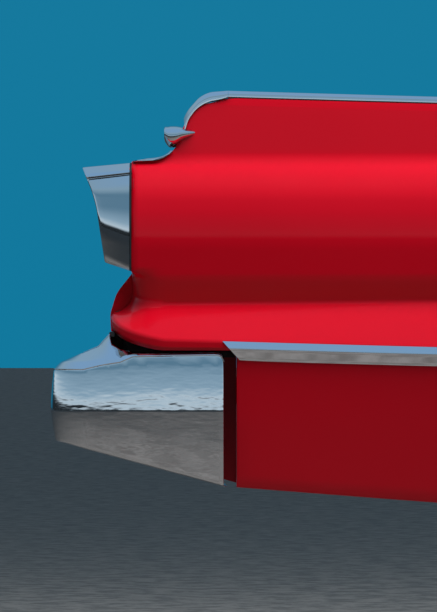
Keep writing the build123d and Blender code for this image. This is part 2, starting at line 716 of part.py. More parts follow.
def spear_moulding():
    """The faceted spear along the ledge, with its rear end cut on the slant."""
    faces = []
    for x in station_xs(SPEAR_REAR_X, CROWN_FRONT_X):
        row = blend(SIDE_STATIONS, x)
        out, z = row[5] + SEAT, row[4]
        fall = (row[5] - FLANK[0]) / (z - FLANK[1])
        points = [
            (out, z + 0.5, 0.0),
            (out + SPEAR_STAND, z - SPEAR_RIDGE, 1.5),
            (out - fall * SPEAR_H + 0.6, z - SPEAR_H, 0.0),
            (out - fall * SPEAR_H, z - SPEAR_H, 0.0),
        ]
        faces.append(area(points, side_plane(x)))
    top = blend(SIDE_STATIONS, SPEAR_REAR_X)[4] + 1.0
    mitre = [
        (SPEAR_REAR_X - 10, top, 0.0),
        (SPEAR_REAR_X, top, 0.0),
        (SPEAR_REAR_X + SPEAR_MITRE, top - SPEAR_H + 2, 0.0),
        (SPEAR_REAR_X + SPEAR_MITRE, top - SPEAR_H - 20, 0.0),
        (SPEAR_REAR_X - 10, top - SPEAR_H - 20, 0.0),
    ]
    return loft(faces, ruled=True) - side_cut(mitre)


def bumper_points(row, base=0.0):
    """The bumper's outer face, from its top flange round the crease to its turned-in foot."""
    _, top, top_z, shoulder, shoulder_z, shoulder_r, foot, foot_z = row
    return [
        (base + top, top_z, 0.0),
        (base + shoulder, shoulder_z, shoulder_r),
        (base, BUMPER_CREASE_Z, 0.0),
        (base + foot, foot_z, 0.0),
        (base + foot - BUMPER_RETURN, foot_z + BUMPER_RETURN_UP, 0.0),
    ]


def bumper_end():
    """The bright bumper end, round the corner from the wheel side to the rear."""
    corner_y = -CROWN_OUT - BUMPER_OUT + BUMPER_R
    rear_x = BUMPER_CORNER_X - BUMPER_R
    sides = [strip(bumper_points(row, BUMPER_OUT), BUMPER_WALL, side_plane(row[0])) for row in BUMPER_SIDE]
    shell = loft(sides, ruled=True)
    _, shoulder, crease, foot, _ = bumper_points(BUMPER_SIDE[-1])
    start = [(out + BUMPER_R, z, radius) for out, z, radius in (BUMPER_CORNER_TOP, shoulder, crease, foot)]
    section = strip(start, BUMPER_WALL, turned_plane(BUMPER_CORNER_X, corner_y, 0.0))
    corner = revolve(section, Axis((BUMPER_CORNER_X, corner_y, 0), (0, 0, -1)), 90)
    rear_out, rear_z, _ = BUMPER_REAR_FOOT
    edge = [(BUMPER_CORNER_X, foot[1], 0.0), (rear_x - rear_out, rear_z, 0.0), (-BIG, rear_z, 0.0)]
    shell += corner - side_cut([*edge, (-BIG, -BIG, 0.0), (BUMPER_CORNER_X, -BIG, 0.0)])
    rear = Plane(origin=(rear_x, corner_y, 0), x_dir=(-1, 0, 0), z_dir=(0, 1, 0))
    turned_in = (rear_out - BUMPER_RETURN, rear_z + BUMPER_RETURN_UP, 0.0)
    points = [BUMPER_SHELF, BUMPER_BEND, shoulder, crease, BUMPER_REAR_FOOT, turned_in]
    shell += inboard(strip(points, BUMPER_WALL, rear), BUMPER_INNER_Y - corner_y)
    flange = Pos(0, BUMPER_INNER_Y - corner_y - BUMPER_WALL, 0) * strip(points[:-1], BUMPER_FLANGE, rear)
    shell += inboard(flange, BUMPER_WALL)
    front = inset(bumper_points(BUMPER_SIDE[0], BUMPER_OUT)[:-1], BUMPER_WALL / 2)
    shell += backward(strip(front, BUMPER_RETURN, side_plane(BUMPER_FRONT_X)), BUMPER_WALL)
    for z in JOINT_BOLTS_Z:
        shell -= Pos(rear_x + JOINT_BOLT_IN, BUMPER_INNER_Y, z) * Rot(X=90) * Cylinder(JOINT_BOLT_R, 4 * BUMPER_WALL)
    return shell


def bumper_back_bar():
    """The bar inside the bumper's rear face."""
    x = BUMPER_CORNER_X - BUMPER_R + BAR_IN
    return slab(x, x + BAR_T, *BAR_Y, ARM_FOOT_Z, ARM_TOP_Z)


def bumper_arm():
    """The arm from the back bar to the chassis."""
    x = BUMPER_CORNER_X - BUMPER_R + BAR_IN + BAR_T + SEAT
    path = [(x, ARM_Y[0], 0.0), (x, ARM_Y[1], 14.0), (ARM_BEND_X, 0.0, 14.0), (ARM_FRONT_X, 0.0, 0.0)]
    plan = Plane(origin=(0, 0, ARM_FOOT_Z), x_dir=(1, 0, 0), z_dir=(0, 0, 1))
    arm = upward(strip(path, ARM_T, plan), ARM_TOP_Z - ARM_FOOT_Z)
    for bolt_x in ARM_BOLTS_X:
        arm -= bolt_hole(bolt_x, (ARM_TOP_Z + ARM_FOOT_Z) / 2, ARM_BOLT_R)
    return arm


def bumper_side_brace():
    """The bracket between the bumper's side and the gravel pan."""
    (x0, x1), middle = BRACE_X, BUMPER_CREASE_Z
    outer, inner = -CROWN_OUT - BUMPER_OUT + BRACE_IN, -CROWN_OUT - PAN_OUT - SEAT
    low, high = middle - BRACE_HALF, middle + BRACE_HALF
    brace = slab(x0, x1, outer, outer + BRACE_T, low, high)
    brace += slab(x0, x0 + BRACE_T, outer, inner, low, high)
    return brace + slab(x0, x1, inner - BRACE_T, inner, low - 15, high + 15)


PARTS = {
    "wing_skin": wing_skin,
    "fin_inner": fin_inner,
    "deck_gutter": deck_gutter,
    "tail_post": tail_post,
    "lock_pillar": lock_pillar,
    "striker_plate": striker_plate,
    "wheelhouse": wheelhouse,
    "inner_rail": inner_rail,
    "gravel_pan": gravel_pan,
    "tail_panel": tail_panel,
    "lamp_bezel": lamp_bezel,
    "lamp_gasket": lamp_gasket,
    "lamp_lens": lamp_lens,
    "lamp_bucket": lamp_bucket,
    "fin_bullet": fin_bullet,
    "crown_moulding_front": crown_moulding_front,
    "crown_moulding_tail": crown_moulding_tail,
    "crown_moulding_lower": crown_moulding_lower,
    "spear_moulding": spear_moulding,
    "bumper_end": bumper_end,
    "bumper_back_bar": bumper_back_bar,
    "bumper_arm": bumper_arm,
    "bumper_side_brace": bumper_side_brace,
}


def save(name, shape):
    """One piece, moved to the part's origin, in its own file."""
    export_step(Pos(*[-v for v in ORIGIN]) * shape, f"parts/{name}.step")
    print(name, round(shape.volume), len(shape.solids()))


os.makedirs("parts", exist_ok=True)
for name, make in PARTS.items():
    save(name, make())
for place, z in SOCKETS_Z.items():
    save(f"bulb_socket_{place}", bulb_socket(z))
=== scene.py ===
import math

import bmesh
import bpy
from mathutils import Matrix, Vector


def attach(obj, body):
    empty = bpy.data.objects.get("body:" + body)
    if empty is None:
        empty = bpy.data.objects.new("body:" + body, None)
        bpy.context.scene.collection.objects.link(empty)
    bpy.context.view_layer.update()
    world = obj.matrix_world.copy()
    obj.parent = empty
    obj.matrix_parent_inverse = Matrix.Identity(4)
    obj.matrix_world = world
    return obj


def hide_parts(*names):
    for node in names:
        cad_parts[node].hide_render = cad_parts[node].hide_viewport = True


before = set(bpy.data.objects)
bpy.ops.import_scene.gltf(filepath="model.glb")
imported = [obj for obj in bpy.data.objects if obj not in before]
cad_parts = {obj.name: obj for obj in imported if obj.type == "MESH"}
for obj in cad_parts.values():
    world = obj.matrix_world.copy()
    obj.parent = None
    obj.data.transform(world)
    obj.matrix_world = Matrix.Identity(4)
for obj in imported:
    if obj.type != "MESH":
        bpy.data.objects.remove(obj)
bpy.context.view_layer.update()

# Looking straight at the right-hand side from ten metres away, at the height of the lamp's foot.
# The picture takes in the tail of the wing and is cut off ahead of it, as the photograph is.
camera = bpy.data.objects.new("camera", bpy.data.cameras.new("camera"))
camera.data.lens = 326.8
camera.data.clip_end = 60
camera.location = (-0.7135, -10.27, -0.05)
camera.rotation_euler = (math.radians(90), 0, 0)
bpy.context.scene.collection.objects.link(camera)
bpy.context.scene.camera = camera

# Plain studio: a mottled grey floor at the height of the road, a plain blue backdrop behind the wing
# and a surround in front of it with a dark skirting under a pale strip. One broad lamp hangs above.
ROAD_Z = -0.72
SKY, DARK_SKIRTING = (0.26, 0.47, 0.74, 1), (0.020, 0.026, 0.030, 1)
BACKDROP_FOOT, BACKDROP_MIDDLE = (0.006, 0.19, 0.34, 1), (0.02, 0.20, 0.34, 1)
SURROUND_BANDS = [
    (0.035, (0.022, 0.030, 0.036, 1)),
    (0.06, (0.66, 0.81, 0.91, 1)),
    (0.13, (0.34, 0.52, 0.66, 1)),
    (0.34, (0.13, 0.27, 0.39, 1)),
    (0.62, (0.30, 0.47, 0.60, 1)),
]
floor_mesh = bpy.data.meshes.new("floor")
bm = bmesh.new()
bmesh.ops.create_grid(bm, x_segments=1, y_segments=1, size=60)
bm.to_mesh(floor_mesh)
bm.free()
floor = bpy.data.objects.new("floor", floor_mesh)
floor.location = (0, 0, ROAD_Z)
bpy.context.scene.collection.objects.link(floor)
floor_paint = bpy.data.materials.new("studio_floor")
floor_paint.use_nodes = True
tree = floor_paint.node_tree
mottle = tree.nodes.new("ShaderNodeTexNoise")
mottle.inputs["Scale"].default_value = 15.0
mottle.inputs["Detail"].default_value = 8.0
mottle.inputs["Roughness"].default_value = 0.72
shade = tree.nodes.new("ShaderNodeValToRGB")
dark_patch, pale_patch = shade.color_ramp.elements
dark_patch.position, dark_patch.color = 0.43, (0.24, 0.232, 0.22, 1)
pale_patch.position, pale_patch.color = 0.57, (0.43, 0.42, 0.405, 1)
where = tree.nodes.new("ShaderNodeTexCoord")
tree.links.new(where.outputs["Object"], mottle.inputs["Vector"])
tree.links.new(mottle.outputs["Fac"], shade.inputs["Fac"])
tree.links.new(shade.outputs["Color"], tree.nodes["Principled BSDF"].inputs["Base Color"])
tree.nodes["Principled BSDF"].inputs["Roughness"].default_value = 0.9
floor_mesh.materials.append(floor_paint)

world = bpy.data.worlds.new("studio")
bpy.context.scene.world = world
world.use_nodes = True
tree = world.node_tree
rays = tree.nodes.new("ShaderNodeLightPath")
seen = tree.nodes.new("ShaderNodeMath")
seen.operation = "MAXIMUM"
through = tree.nodes.new("ShaderNodeMath")
through.operation = "MAXIMUM"
toward = tree.nodes.new("ShaderNodeTexCoord")
upward = tree.nodes.new("ShaderNodeSeparateXYZ")
surround = tree.nodes.new("ShaderNodeValToRGB")
surround.color_ramp.elements[0].color = DARK_SKIRTING
surround.color_ramp.elements[1].color = SKY
for height, colour in SURROUND_BANDS:
    surround.color_ramp.elements.new(height).color = colour
behind = tree.nodes.new("ShaderNodeValToRGB")
behind.color_ramp.elements[0].color = BACKDROP_FOOT
behind.color_ramp.elements[1].color = SKY
behind.color_ramp.elements.new(0.4).color = BACKDROP_MIDDLE
far_side = tree.nodes.new("ShaderNodeMapRange")
far_side.inputs["From Min"].default_value = 0.72
far_side.inputs["From Max"].default_value = 0.96
graded = tree.nodes.new("ShaderNodeMix")
graded.data_type = "RGBA"
backdrop = tree.nodes.new("ShaderNodeBackground")
either = tree.nodes.new("ShaderNodeMixShader")
tree.nodes["Background"].inputs["Color"].default_value = (0.92, 0.96, 1.0, 1)
tree.nodes["Background"].inputs["Strength"].default_value = 0.06
tree.links.new(toward.outputs["Generated"], upward.inputs[0])
tree.links.new(upward.outputs["Z"], surround.inputs["Fac"])
tree.links.new(upward.outputs["Z"], behind.inputs["Fac"])
tree.links.new(upward.outputs["Y"], far_side.inputs["Value"])
tree.links.new(far_side.outputs[0], graded.inputs[0])
tree.links.new(surround.outputs["Color"], graded.inputs[6])
tree.links.new(behind.outputs["Color"], graded.inputs[7])
tree.links.new(graded.outputs[2], backdrop.inputs["Color"])
tree.links.new(rays.outputs["Is Camera Ray"], seen.inputs[0])
tree.links.new(rays.outputs["Is Glossy Ray"], seen.inputs[1])
tree.links.new(seen.outputs[0], through.inputs[0])
tree.links.new(rays.outputs["Is Transmission Ray"], through.inputs[1])
tree.links.new(through.outputs[0], either.inputs["Fac"])
tree.links.new(tree.nodes["Background"].outputs[0], either.inputs[1])
tree.links.new(backdrop.outputs[0], either.inputs[2])
tree.links.new(either.outputs[0], tree.nodes["World Output"].inputs["Surface"])

lamp_light = bpy.data.lights.new("softbox", "AREA")
lamp_light.shape = "RECTANGLE"
lamp_light.size = 3.6
lamp_light.size_y = 1.3
lamp_light.energy = 72
softbox = bpy.data.objects.new("softbox", lamp_light)
softbox.location = (-0.2, -0.85, 1.95)
softbox.rotation_euler = (math.radians(16), 0, 0)
softbox.visible_glossy = False
bpy.context.scene.collection.objects.link(softbox)

bpy.context.scene.view_settings.view_transform = "Standard"

# Wing skin: the outer pressing, 2 mm steel, with the tail corner, the arch lip and the hems in one.
# Drawn cold over a die, spot welded to the posts, and sprayed in deep gloss red.
TAIL_X, BOLT_PLANE_Z = 871.0, 50.0
CROWN_OUT = 150.0
DOOR_X = 1750.0
# x, crown z, waist z, waist, ledge z, ledge, foot z, foot
SIDE_ROWS = [
    (0.0, 385.5, 3.0, 56.0, -58.0, 121.0, -311.0, 97.0),
    (551.0, 369.5, 9.0, 56.0, -74.0, 123.0, -355.0, 95.0),
    (1750.0, 342.0, 18.0, 65.0, -94.0, 124.0, -425.0, 90.0),
]
COVE, SHOULDER, BELLY = (24.0, 265.0), (64.0, 224.5), (82.0, 140.0)
TUCK, FLANK = (74.0, 50.0), (112.0, -200.0)
NOTCH = [
    (-120.0, 261.0, 0, 0),
    (72.0, 264.0, 50, 0),
    (98.0, 339.0, 40, 0),
    (122.0, 371.5, 60, 0),
    (175.0, 380.5, 0, 0),
]
NOTCH_FOOT_Z, NOTCH_END_X, FIN_DRAWN_X = 262.8, 175.0, 260.0
CORNER_X, CORNER_OUT, LAMP_FOOT_Z, LIP_Z = 60.0, -2.0, 62.0, -80.0
# angle, tuck, tuck radius, waist, waist z, waist radius, ledge, ledge z
CORNER_ROWS = [
    (0.0, 76.0, 50.0, 58.0, 3.7, 14.0, 123.2, -59.7),
    (20.0, 77.0, 40.0, 58.5, 3.0, 20.0, 119.0, -51.0),
    (40.0, 77.0, 30.0, 58.5, 2.0, 27.0, 112.5, -40.0),
    (60.0, 67.0, 24.0, 58.0, 0.0, 34.0, 105.0, -27.0),
    (80.0, 59.5, 20.0, 57.5, -2.0, 40.0, 100.0, -14.0),
]
RECESS_X, RECESS_DEPTH, FLANK_STEPS = 190.0, 56.0, 12
ARCH_X, ARCH_Z, ARCH_R, ARCH_STEPS = 1194.0, -440.0, 310.0, 40
ARCH_TAIL_X, ARCH_DOOR_X = 890.0, 1500.0
DOOR_FLANGE, DOOR_FLANGE_TOP = 22.0, 150.0


def at(x, out, z):
    """A place in the wing's own sizes: x from the lamp face, out from the fin's middle, z up, in mm."""
    return Vector(((x - TAIL_X) / 1000, (-CROWN_OUT - out) / 1000, (z - BOLT_PLANE_Z) / 1000))


def fair(rows, x):
    """The row at x on smooth curves through three rows."""
    a, b, c = rows
    s, t = (x - a[0]) / (c[0] - a[0]), (b[0] - a[0]) / (c[0] - a[0])
    weights = ((s - t) * (s - 1) / t, s * (s - 1) / (t * (t - 1)), s * (s - t) / (1 - t))
    return [sum(w * row[i] for w, row in zip(weights, rows)) for i in range(len(a))]


def eased(rows, x):
    """The row at x on smooth curves through a longer table."""
    i = max(j for j in range(len(rows) - 1) if rows[j][0] <= x)
    a, b = rows[i], rows[i + 1]
    before, after = rows[max(i - 1, 0)], rows[min(i + 2, len(rows) - 1)]
    t = (x - a[0]) / (b[0] - a[0])
    values = []
    for k in range(len(a)):
        rise_a = (b[k] - before[k]) / (b[0] - before[0]) * (b[0] - a[0])
        rise_b = (after[k] - a[k]) / (after[0] - a[0]) * (b[0] - a[0])
        values.append(
            (2 * t**3 - 3 * t**2 + 1) * a[k]
            + (t**3 - 2 * t**2 + t) * rise_a
            + (3 * t**2 - 2 * t**3) * b[k]
            + (t**3 - t**2) * rise_b
        )
    return values


def rounded(corners, steps=8):
    """A line through corners (a, b, radius, cuts after it), its corners beveled round."""
    work = bmesh.new()
    points = [work.verts.new((a, b, 0)) for a, b, _, _ in corners]
    for low, high in zip(points, points[1:]):
        work.edges.new((low, high))
    counts = []
    for i, (_, _, radius, _) in enumerate(corners):
        if radius and 0 < i < len(corners) - 1:
            incoming = Vector(corners[i][:2]) - Vector(corners[i - 1][:2])
            outgoing = Vector(corners[i + 1][:2]) - Vector(corners[i][:2])
            reach = max(radius * math.tan(incoming.angle(outgoing) / 2), 0.02)
            bmesh.ops.bevel(
                work, geom=[points[i]], offset=reach, segments=steps, profile=0.5,
                affect="VERTICES", material=-1,
            )
            counts.append(steps + 1)
        else:
            counts.append(1)
    line = walk(work, corners[0])
    ends = [sum(counts[: i + 1]) for i in range(len(counts) - 1)]
    middles = [(line[end].co + line[end - 1].co) / 2 for end in ends]
    for middle, (_, _, _, cuts) in zip(middles, corners):
        if cuts:
            edge = min(work.edges, key=lambda e: (e.verts[0].co + e.verts[1].co - 2 * middle).length)
            bmesh.ops.subdivide_edges(work, edges=[edge], cuts=cuts)
    places = [(v.co.x, v.co.y) for v in walk(work, corners[0])]
    work.free()
    return places


def walk(work, first):
    """The vertices of a wire in order, from its end at the first corner."""
    ends = [v for v in work.verts if len(v.link_edges) == 1]
    vert = min(ends, key=lambda v: (v.co - Vector((first[0], first[1], 0))).length)
    line, last = [vert], None
    while True:
        onward = [e.other_vert(vert) for e in vert.link_edges if e.other_vert(vert) is not last]
        if not onward:
            return line
        last, vert = vert, onward[0]
        line.append(vert)


def across(a, b, z):
    """Where the line from a to b passes height z."""
    return a[0] + (z - a[1]) / (b[1] - a[1]) * (b[0] - a[0])


def loft(bm, rings, closed=False):
    """A sheet drawn from ring to ring by extruding the first one."""
    row = [bm.verts.new(place) for place in rings[0]]
    pairs = list(zip(row, row[1:] + row[:1])) if closed else list(zip(row, row[1:]))
    edges = [bm.edges.new(pair) for pair in pairs]
    for ring in rings[1:]:
        drawn = bmesh.ops.extrude_edge_only(bm, edges=edges)["geom"]
        fresh = {v for v in drawn if isinstance(v, bmesh.types.BMVert)}
        row = [next(e.other_vert(v) for e in v.link_edges if e.other_vert(v) in fresh) for v in row]
        for vert, place in zip(row, ring):
            vert.co = place
        pairs = zip(row, row[1:] + row[:1]) if closed else zip(row, row[1:])
        edges = [bm.edges.get(pair) for pair in pairs]
    return row


def smooth_faces(bm, crease=32):
    """Smooth shading, with the edges that turn by more than the crease angle kept sharp."""
    for face in bm.faces:
        face.smooth = True
    for edge in bm.edges:
        edge.smooth = len(edge.link_faces) != 2 or edge.calc_face_angle(0) < math.radians(crease)


def finished(name, bm, material, nodes, sheet=0.0):
    """The piece as an object on the wing, in place of its CAD node."""
    mesh = bpy.data.meshes.new(name)
    bm.to_mesh(mesh)
    bm.free()
    piece = bpy.data.objects.new(name, mesh)
    bpy.context.scene.collection.objects.link(piece)
    mesh.materials.append(material)
    if sheet:
        wall = piece.modifiers.new("wall", "SOLIDIFY")
        wall.thickness = sheet / 1000
        wall.offset = -1
        wall.use_even_offset = True
        wall.thickness_clamp = 1
    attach(piece, "root")
    if nodes:
        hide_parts(*nodes)
    return piece


def finish_nodes(name):
    """A new material with its shader, ready for its colour, gloss and relief."""
    material = bpy.data.materials.new(name)
    material.use_nodes = True
    nodes, links = material.node_tree.nodes, material.node_tree.links
    place = nodes.new("ShaderNodeTexCoord")
    return material, nodes, links, nodes["Principled BSDF"], place.outputs["Object"]


def cloud(nodes, links, place, scale, detail=2.0):
    """Soft random variation at a scale, in cells to the metre."""
    noise = nodes.new("ShaderNodeTexNoise")
    noise.inputs["Scale"].default_value = scale
    noise.inputs["Detail"].default_value = detail
    links.new(place, noise.inputs["Vector"])
    return noise.outputs["Fac"]


def ranged(nodes, links, value, low, high):
    """A 0 to 1 value brought to a range of its own."""
    spread = nodes.new("ShaderNodeMapRange")
    spread.inputs["From Min"].default_value = 0.3
    spread.inputs["From Max"].default_value = 0.7
    spread.inputs["To Min"].default_value = low
    spread.inputs["To Max"].default_value = high
    links.new(value, spread.inputs["Value"])
    return spread.outputs["Result"]


def tinted(nodes, links, value, colour_a, colour_b):
    """Two close colours mixed by a value."""
    mix = nodes.new("ShaderNodeMix")
    mix.data_type = "RGBA"
    mix.inputs["A"].default_value = (*colour_a, 1)
    mix.inputs["B"].default_value = (*colour_b, 1)
    links.new(value, mix.inputs["Factor"])
    return mix.outputs["Result"]


def relief(nodes, links, value, depth, strength=1.0):
    """Surface relief of a depth in metres."""
    bump = nodes.new("ShaderNodeBump")
    bump.inputs["Strength"].default_value = strength
    bump.inputs["Distance"].default_value = depth
    links.new(value, bump.inputs["Height"])
    return bump.outputs["Normal"]


def red_enamel(name, light, dark, rough, coat):
    """Sprayed red enamel: a colour coat with slight drift in shade and a clear, faintly pebbled gloss."""
    material, nodes, links, shader, place = finish_nodes(name)
    drift, patches = cloud(nodes, links, place, 3.0), cloud(nodes, links, place, 9.0)
    links.new(tinted(nodes, links, drift, light, dark), shader.inputs["Base Color"])
    links.new(ranged(nodes, links, patches, rough - 0.04, rough + 0.04), shader.inputs["Roughness"])
    shader.inputs["Specular IOR Level"].default_value = 0.12
    shader.inputs["Coat Weight"].default_value = coat
    shader.inputs["Coat IOR"].default_value = 1.4
    shader.inputs["Coat Roughness"].default_value = 0.09
    pebble = relief(nodes, links, cloud(nodes, links, place, 260.0, 1.0), 0.00006, 0.35)
    links.new(pebble, shader.inputs["Coat Normal"])
    return material


body_red = red_enamel("body_red", (0.76, 0.003, 0.018), (0.69, 0.002, 0.015), 0.42, 0.36)


def crown_section(row, side):
    """The fin from its crown down, on the outer side (1) or the boot's side (-1)."""
    crown = row[1]
    corners = [
        (3.0 * side, crown, 0, 1),
        (16.9 * side, crown - 0.6, 1.5, 1),
        (19.0 * side, crown - 15, 16, 8),
    ]
    if side > 0:
        foot = (across(BELLY, TUCK, LAMP_FOOT_Z), LAMP_FOOT_Z, 0, 0)
        corners += [(*COVE, 38, 2), (*SHOULDER, 118, 2), (*BELLY, 250, 3), foot]
    else:
        corners += [(-24.0, 271.0, 38, 2), (-60.0, 246.5, 40, 1), (-78.0, 224.0, 20, 2), (-78.0, 192.0, 0, 0)]
    return rounded(corners, 12)


def waist_section(row):
    """The side between the lamp's foot and the lip below the ledge."""
    _, _, waist_z, waist, ledge_z, ledge, _, _ = row
    lip_z = min(LIP_Z, ledge_z - 16)
    return rounded([
        (across(BELLY, TUCK, LAMP_FOOT_Z), LAMP_FOOT_Z, 0, 0),
        (*TUCK, 60, 3),
        (waist, waist_z, 8, 6),
        (ledge, ledge_z, 10, 1),
        (across((ledge, ledge_z), FLANK, lip_z), lip_z, 0, 0),
    ])


notch_line = rounded(NOTCH, 16)


def notch_x(z):
    """How far forward the fin's rear edge is at height z, 0 below it."""
    if z <= NOTCH_FOOT_Z:
        return 0.0
    for low, high in zip(notch_line, notch_line[1:]):
        if low[1] <= z <= high[1]:
            return max(low[0] + (z - low[1]) / (high[1] - low[1]) * (high[0] - low[0]), 0.0)
    return NOTCH_END_X


def fin_ring(x, side):
    """One ring of the fin, drawn forward where the fin's rear edge cuts it off."""
    ring = []
    here, far = crown_section(fair(SIDE_ROWS, x), side), crown_section(fair(SIDE_ROWS, FIN_DRAWN_X), side)
    for (out, z), (far_out, far_z) in zip(here, far):
        edge = notch_x(z)
        slid = edge + (FIN_DRAWN_X - edge) * x / FIN_DRAWN_X if x < FIN_DRAWN_X else x
        share = (slid - x) / (FIN_DRAWN_X - x) if x < FIN_DRAWN_X else 0
        ring.append(at(slid, out + share * (far_out - out), z + share * (far_z - z)))
    return ring


foot_out = across(BELLY, TUCK, LAMP_FOOT_Z) - CORNER_OUT
corner_angles = [0.0, 8.0, 16.0, 24.0, 31.0, math.degrees(math.atan2(CORNER_X, foot_out))]
tail_columns = [CORNER_X - foot_out * math.tan(math.radians(a)) for a in reversed(corner_angles)]
near_columns = [80, 105, 130, 160, 190, 225, 260, 330, 430, 551, 680, 820]
columns = [*tail_columns, *near_columns, 960, 1100, 1240, 1380, 1520, 1640, DOOR_X]
columns = [float(round(x, 3)) for x in columns]
columns[0] = 0.0

bm = bmesh.new()
loft(bm, [fin_ring(x, 1) for x in columns])
body_columns = [x for x in columns if x >= CORNER_X]
loft(bm, [[at(x, out, z) for out, z in waist_section(fair(SIDE_ROWS, x))] for x in body_columns])


def corner_ring(angle, inside=0.0):
    """One ring of the tail corner, turned about the upright line through the corner's middle."""
    _, tuck, tuck_r, waist, waist_z, waist_r, ledge, ledge_z = eased(CORNER_ROWS, angle)
    s, c = math.sin(math.radians(angle)), math.cos(math.radians(angle))
    foot = min(foot_out / c, CORNER_X / s if s else 999.0)
    line = rounded([
        (foot, LAMP_FOOT_Z, 0, 0),
        (tuck, TUCK[1], tuck_r, 3),
        (waist, waist_z, waist_r, 6),
        (ledge, ledge_z, 10, 1),
        (ledge - 2, ledge_z - 22, 0, 0),
    ])
    return [at(CORNER_X - (r - inside) * s, CORNER_OUT + (r - inside) * c, z) for r, z in line]


start = [at(CORNER_X, out, z) for out, z in waist_section(fair(SIDE_ROWS, CORNER_X))]
turned_angles = [*corner_angles[1:], 44.0, 50.0, 56.0, 62.0, 68.0, 74.0, 80.0]
loft(bm, [start, *[corner_ring(a) for a in turned_angles]])


def flank_ring(x, x_shown, foot_z, drop=0.0, turn_in=24.0):
    """The side below the lip at x, down to the sill or the arch, with its edge turned in."""
    row = fair(SIDE_ROWS, x)
    lip_z = min(LIP_Z, row[4] - 16)
    line = rounded([(row[5], row[4], 0, 0), (*FLANK, 300, 0), (row[7], row[6] - 30, 0, 0)], 10)

    def out_at(z):
        return next(across(a, b, z) for a, b in zip(line, line[1:]) if b[1] <= z <= a[1])

    places = []
    for i in range(FLANK_STEPS + 1):
        z = lip_z + (foot_z + 4 - lip_z) * i / FLANK_STEPS
        places.append((out_at(z) - drop, z))
    edge = out_at(foot_z)
    inward = edge - drop if drop > turn_in else edge
    for back, up in ((1.2, 1.2), (4.0, 0.0), (turn_in, 0.0)):
        places.append((min(edge - back, inward), foot_z + up))
    return [at(x_shown, out, z) for out, z in places]


arch_start = math.degrees(math.asin((fair(SIDE_ROWS, ARCH_TAIL_X)[6] - ARCH_Z) / ARCH_R))
arch_end = 180 - math.degrees(math.asin((fair(SIDE_ROWS, ARCH_DOOR_X)[6] - ARCH_Z) / ARCH_R))
flank_rings = []
for past, shown, drop in ((0, 0, RECESS_DEPTH), (0, 0, 3.0), (1, 0.9, 0.9), (3, 3, 0)):
    x, x_shown = RECESS_X + past, RECESS_X + shown
    flank_rings.append(flank_ring(x, x_shown, fair(SIDE_ROWS, x)[6], drop))
for x in [c for c in near_columns if c > RECESS_X]:
    flank_rings.append(flank_ring(x, x, fair(SIDE_ROWS, x)[6]))
for i in range(ARCH_STEPS + 1):
    angle = math.radians(arch_start + (arch_end - arch_start) * i / ARCH_STEPS)
    x = ARCH_X - ARCH_R * math.cos(angle)
    flank_rings.append(flank_ring(x, x, ARCH_Z + ARCH_R * math.sin(angle), 0, 22.0))
for x in (1560, 1640, DOOR_X):
    flank_rings.append(flank_ring(x, x, fair(SIDE_ROWS, x)[6]))
loft(bm, flank_rings)

bmesh.ops.remove_doubles(bm, verts=bm.verts, dist=0.0002)
front = at(DOOR_X, 0, DOOR_FLANGE_TOP)
door_edges = [e for e in bm.edges if e.is_boundary and all(abs(v.co.x - front.x) < 1e-5 for v in e.verts)]
hem = [e for e in door_edges if all(v.co.z < front.z for v in e.verts)]
turned = bmesh.ops.extrude_edge_only(bm, edges=hem)["geom"]
flange = [v for v in turned if isinstance(v, bmesh.types.BMVert)]
bmesh.ops.translate(bm, verts=flange, vec=(0, DOOR_FLANGE / 1000, 0))
bmesh.ops.recalc_face_normals(bm, faces=bm.faces)
outward = max(bm.faces, key=lambda f: f.calc_area())
if outward.normal.y > 0:
    bmesh.ops.reverse_faces(bm, faces=bm.faces)
smooth_faces(bm)
finished("wing_skin_panel", bm, body_red, ["wing_skin"], 2.0)

# Fin inner panel: the fin's boot side, pressed to the same crown line and spot welded to the skin
# above and to the rain channel below. The same 2 mm steel and the same enamel.
bm = bmesh.new()
loft(bm, [fin_ring(x, -1) for x in columns])
bmesh.ops.recalc_face_normals(bm, faces=bm.faces)
if max(bm.faces, key=lambda f: f.calc_area()).normal.y < 0:
    bmesh.ops.reverse_faces(bm, faces=bm.faces)
smooth_faces(bm)
finished("fin_inner_panel", bm, body_red, ["fin_inner"], 2.0)

# Bright mouldings on the fin: the crown strip, the horn over the fin's rear edge and the sweep down
# to the lamp. Rolled and pressed brass, chromium plated, each clipped over the panels' edges.
CROWN_HALF, CROWN_H, CROWN_REAR_X, CROWN_FRONT_X = 17.0, 11.5, 175.3, 1745.0
SEAL_BACK, SEAL_FALL = 40.0, 0.2
SEAL_LINE = [(16.0, -1.4), (17.5, -1.2), (17.5, 0.4), (-17.5, 0.4), (-17.5, -1.2), (-16.0, -1.4)]
HORN = [(175.0, 392.0, 0, 0), (130.0, 388.8, 45, 0), (98.0, 353.0, 55, 0), (86.5, 318.2, 0, 0)]
HORN_FOOT_X, HORN_FOOT_Z, HORN_HALF, HORN_TOP_Z, HORN_FLARE = 90.9, 318.5, 21.0, 369.0, 0.06
SWEEP = [(79.0, 297.0, 0, 0), (61.0, 272.4, 30, 0), (-2.0, 267.8, 0, 0)]
SWEEP_HALF, SWEEP_TOP_Z, SWEEP_FLARE = 27.0, 285.0, 0.35
EDGE_POINTS = 22


